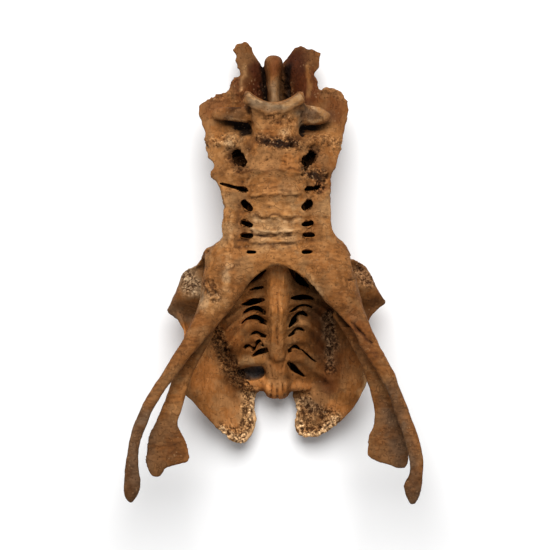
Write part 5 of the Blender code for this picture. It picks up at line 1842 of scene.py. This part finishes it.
@dataclass(frozen=True)
class BoneFinish:
    """Old bone: mottled brown, fibrous along its length, with dirty pits and painted shade in its recesses
    and hollows.

    Scales are in patterns per metre, and a pair of numbers is a smooth step's low and high end.

    Attributes:
        mottle: scale of the broad patches.
        blotch: scale of the smaller ones.
        fibre: scale of the fibres.
        stratum: scale of the lines across the waist.
        vein: scale of the veins that the cracks follow.
        speck: scale of the pits and flecks.
        cell: scale of spongy bone's pores.
        grain: scale of the crumbs on spongy bone.
        fibre_stretch: how the fibres are drawn out.
        stratum_stretch: how the lines are drawn out.
        waist: the heights between which lines take over from fibres, in metres.
        crack: from a vein's middle to its side.
        cracked: where there are cracks.
        pit: from a pit's middle to its rim.
        pitted: where there are pits.
        fleck: from a fleck's middle to its rim.
        unflecked: where there are no flecks.
        tone: how light the paint is kept, before the patterns.
        warm: tint of the warm patches.
        dusty: tint of the dusty patches.
        dusted: where warm patches turn dusty.
        bare: where the paint shows as it is.
        lightness: of the whole paint.
        grime_and_shade: tint of the dark end of the tone: dark patches, dirty spots and the painted shade
            in recesses and hollows.
        recess_shade_and_dirt: depth at which recesses are darkened, partly as dirty pits and partly as
            painted shade.
        hollow_shade: depth at which the wider hollows are darkened as painted shade.
        worn: height at which ridges are worn light.
        pore: from a pore to its wall.
        crumbling: where the wall crumbles.
        crumb: tint of crumbling bone.
        sparkling: where its highest crumbs are.
        spark: their tint.
        spongy_recess: depth at which spongy bone's pits get painted shade.
        spongy_share: how much of rough places is spongy.
        bump: strength of the fine relief.
        rise: height of the fine relief in metres.
        gloss: level of the faint shine.
    """

    mottle: float = 42.0
    blotch: float = 150.0
    fibre: float = 520.0
    stratum: float = 300.0
    vein: float = 75.0
    speck: float = 300.0
    cell: float = 320.0
    grain: float = 620.0
    fibre_stretch: Row = (1, 0.2, 0.6)
    stratum_stretch: Row = (0.3, 1, 1)
    waist: Row = (0.07, 0.088)
    crack: Row = (0.004, 0.022)
    cracked: Row = (0.42, 0.56)
    pit: Row = (0.12, 0.34)
    pitted: Row = (0.52, 0.62)
    fleck: Row = (0.14, 0.36)
    unflecked: Row = (0.38, 0.48)
    tone: float = 0.68
    warm: Row = (1.08, 0.9, 0.64)
    dusty: Row = (0.98, 1.03, 1.06)
    dusted: Row = (0.44, 0.58)
    bare: Row = (0.4, 0.6)
    lightness: float = 1.34
    grime_and_shade: Row = (0.26, 0.215, 0.19)
    recess_shade_and_dirt: Row = (0.05, 0.9)
    hollow_shade: Row = (0.1, 0.9)
    worn: Row = (0.1, 0.9)
    pore: Row = (0.43, 0.52)
    crumbling: Row = (0.5, 0.56)
    crumb: Row = (1.45, 1.55, 1.6)
    sparkling: Row = (0.57, 0.62)
    spark: Row = (2.3, 2.7, 3.1)
    spongy_recess: Row = (0.1, 0.8)
    spongy_share: float = 0.85
    bump: float = 0.9
    rise: float = 0.0009
    gloss: float = 0.05

    def marks(self, shader: Shader) -> Marks:
        """Read the bone's attributes and lay the patterns on it.

        Args:
            shader: where the nodes go.

        Returns:
            The attributes and the patterns.
        """
        place = shader.node("ShaderNodeTexCoord", output="Object")
        height = shader.node("ShaderNodeSeparateXYZ", None, {"Vector": place}, "Z")
        blotch = shader.noise(place, self.blotch, detail=5)
        vein = shader.noise(place, self.vein, detail=3)
        drawn = shader.stretched(place, self.fibre_stretch)
        layered = shader.stretched(place, self.stratum_stretch)
        speck = {"Vector": place, "Scale": self.speck}
        spots = shader.node("ShaderNodeTexVoronoi", None, speck, "Distance")
        off_vein = (vein - 0.5).math("ABSOLUTE")
        return Marks(
            paint=shader.attribute("paint", "Color"),
            rough=shader.attribute("rough"),
            recess=shader.attribute("recess"),
            hollow=shader.attribute("hollow"),
            upper=height.step(*self.waist),
            mottle=shader.noise(place, self.mottle, detail=4),
            blotch=blotch,
            fibre=shader.noise(drawn, self.fibre, detail=3),
            strata=shader.noise(layered, self.stratum, detail=4),
            cracks=(1 - off_vein.step(*self.crack)) * blotch.step(*self.cracked),
            pits=(1 - spots.step(*self.pit)) * vein.step(*self.pitted),
            flecks=(1 - spots.step(*self.fleck)) * (1 - vein.step(*self.unflecked)),
            pores=0.65 * shader.noise(place, self.cell, detail=4) + 0.35 * blotch,
            grit=shader.noise(place, self.grain, detail=2),
        )

    def whole(self, shader: Shader, marks: Marks) -> Value:
        """Colour of whole bone, from its dark tone and painted shade to clean paint.

        Args:
            shader: where the nodes go.
            marks: the bone's attributes and patterns.

        Returns:
            The colour.
        """
        tone = self.tone + 0.8 * (marks.mottle - 0.5)
        tone = tone + (1.0 + 0.6 * marks.upper) * (marks.blotch - 0.5)
        tone = tone + 0.75 * (1 - marks.upper) * (marks.fibre - 0.5)
        tone = tone + 1.4 * marks.upper * (marks.strata - 0.5)
        tone = tone * (1 - 0.5 * marks.pits) * (1 - 0.5 * marks.cracks)
        # painted shade: darker in the recesses, which also hold some dirty pits, and in the wider hollows;
        # raised places are worn lighter
        shade_and_dirt = 0.6 * marks.recess.step(*self.recess_shade_and_dirt) + 0.4 * marks.hollow.step(*self.hollow_shade)
        tone = tone * (1 - shade_and_dirt) + 0.3 * (0 - marks.recess).step(*self.worn)
        warm, dusty = shader.tinted(marks.paint, self.warm), shader.tinted(marks.paint, self.dusty)
        clean = shader.blend(marks.mottle.step(*self.dusted), warm, dusty)
        clean = shader.blend(0.5 * marks.blotch.step(*self.bare), clean, marks.paint)
        clean = shader.scaled(clean, self.lightness)
        return shader.blend(tone, shader.tinted(marks.paint, self.grime_and_shade), clean)

    def spongy(self, shader: Shader, marks: Marks) -> Value:
        """Colour of spongy bone, from its dark pores to its light crumbs.

        Args:
            shader: where the nodes go.
            marks: the bone's attributes and patterns.

        Returns:
            The colour.
        """
        pores, dark = marks.pores, Tint.DARK.opaque
        crumb, spark = shader.tinted(marks.paint, self.crumb), shader.tinted(marks.paint, self.spark)
        colour = shader.blend(pores.step(*self.crumbling), marks.paint, crumb)
        colour = shader.blend(pores.step(*self.sparkling), colour, spark)
        colour = shader.blend(pores.step(*self.pore), dark, colour)
        # painted shade: spongy bone turns dark in its deeper pits
        colour = shader.blend(0.85 * marks.recess.step(*self.spongy_recess), colour, dark)
        return shader.scaled(colour, 1.2 + 4.5 * (marks.grit - 0.5))

    def material(self) -> bpy.types.Material:
        """Build the shader.

        Returns:
            The material.
        """
        shader = Shader("old_bone")
        marks = self.marks(shader)
        colour = self.whole(shader, marks)
        colour = shader.blend(marks.rough * self.spongy_share, colour, self.spongy(shader, marks))
        colour = shader.blend(marks.flecks * (0.22 + 0.3 * marks.rough), colour, Tint.CREAM.opaque)
        height = 0.7 * marks.blotch + 0.35 * marks.fibre - 0.6 * marks.pits - 0.4 * marks.cracks
        height = height + 1.5 * marks.rough * marks.pores
        relief = {"Strength": self.bump, "Distance": self.rise, "Height": height}
        sockets = shader.surface.inputs
        shader.feed(sockets["Base Color"], colour)
        shader.feed(sockets["Roughness"], 0.55 + 0.2 * marks.blotch + 0.1 * marks.rough)
        shader.feed(sockets["Specular IOR Level"], self.gloss)
        shader.feed(sockets["Normal"], shader.node("ShaderNodeBump", None, relief))
        return shader.material


@dataclass
class Studio:
    """A white table, soft light from the far side, and the camera straight above."""

    table_size: float = 6.0
    table_shade: float = 0.94
    table_roughness: float = 0.8
    lamp_place: Row = (-0.02, 1.7, 2.7)
    lamp_size: float = 2.4
    lamp_power: float = 141.0
    sky: float = 0.32
    camera_place: Row = (0.0025, -0.0063, 3.0)
    frame_width: float = 0.55
    subject_distance: float = 2.94
    sensor: float = 36.0

    def build(self) -> Solid:
        """Set up the table, lights, world and camera.

        Returns:
            The table.
        """
        scene = bpy.context.scene
        bm = bmesh.new()
        bmesh.ops.create_grid(bm, x_segments=1, y_segments=1, size=self.table_size / 2)
        mesh = bpy.data.meshes.new("table")
        bm.to_mesh(mesh)
        bm.free()
        table = bpy.data.objects.new("table", mesh)
        scene.collection.objects.link(table)
        paper = bpy.data.materials.new("white_paper")
        paper.use_nodes = True
        shader = paper.node_tree.nodes["Principled BSDF"]
        shader.inputs["Base Color"].default_value = (*[self.table_shade] * 3, 1)
        shader.inputs["Roughness"].default_value = self.table_roughness
        mesh.materials.append(paper)
        world = bpy.data.worlds.new("studio")
        world.use_nodes = True
        background = world.node_tree.nodes["Background"]
        background.inputs["Color"].default_value = (1, 1, 1, 1)
        background.inputs["Strength"].default_value = self.sky
        scene.world = world
        light = bpy.data.lights.new("softbox", "AREA")
        light.shape = "SQUARE"
        light.size = self.lamp_size
        light.energy = self.lamp_power
        lamp = bpy.data.objects.new("softbox", light)
        lamp.location = self.lamp_place
        lamp.rotation_euler = (-Vector(lamp.location)).to_track_quat("-Z", "Y").to_euler()
        scene.collection.objects.link(lamp)
        camera = bpy.data.objects.new("camera", bpy.data.cameras.new("camera"))
        camera.data.sensor_width = self.sensor
        camera.data.lens = self.sensor * self.subject_distance / self.frame_width
        camera.location = self.camera_place
        scene.collection.objects.link(camera)
        scene.camera = camera
        scene.view_settings.view_transform = "Standard"
        log.info("studio: table, one lamp and the camera")
        return table


def main() -> None:
    """Build the bone, its finish and the studio, and hand them over."""
    noise.seed_set(SEED)
    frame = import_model()
    log.info("frame: %s", ", ".join(frame["nodes"]))
    bone = Pelvis().build()
    log.info("bone: %d faces", len(bone.data.polygons))
    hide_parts("pelvis")
    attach(bone, "root")
    bone.data.materials.append(BoneFinish().material())
    table = Studio().build()


if __name__ == "__main__":
    main()
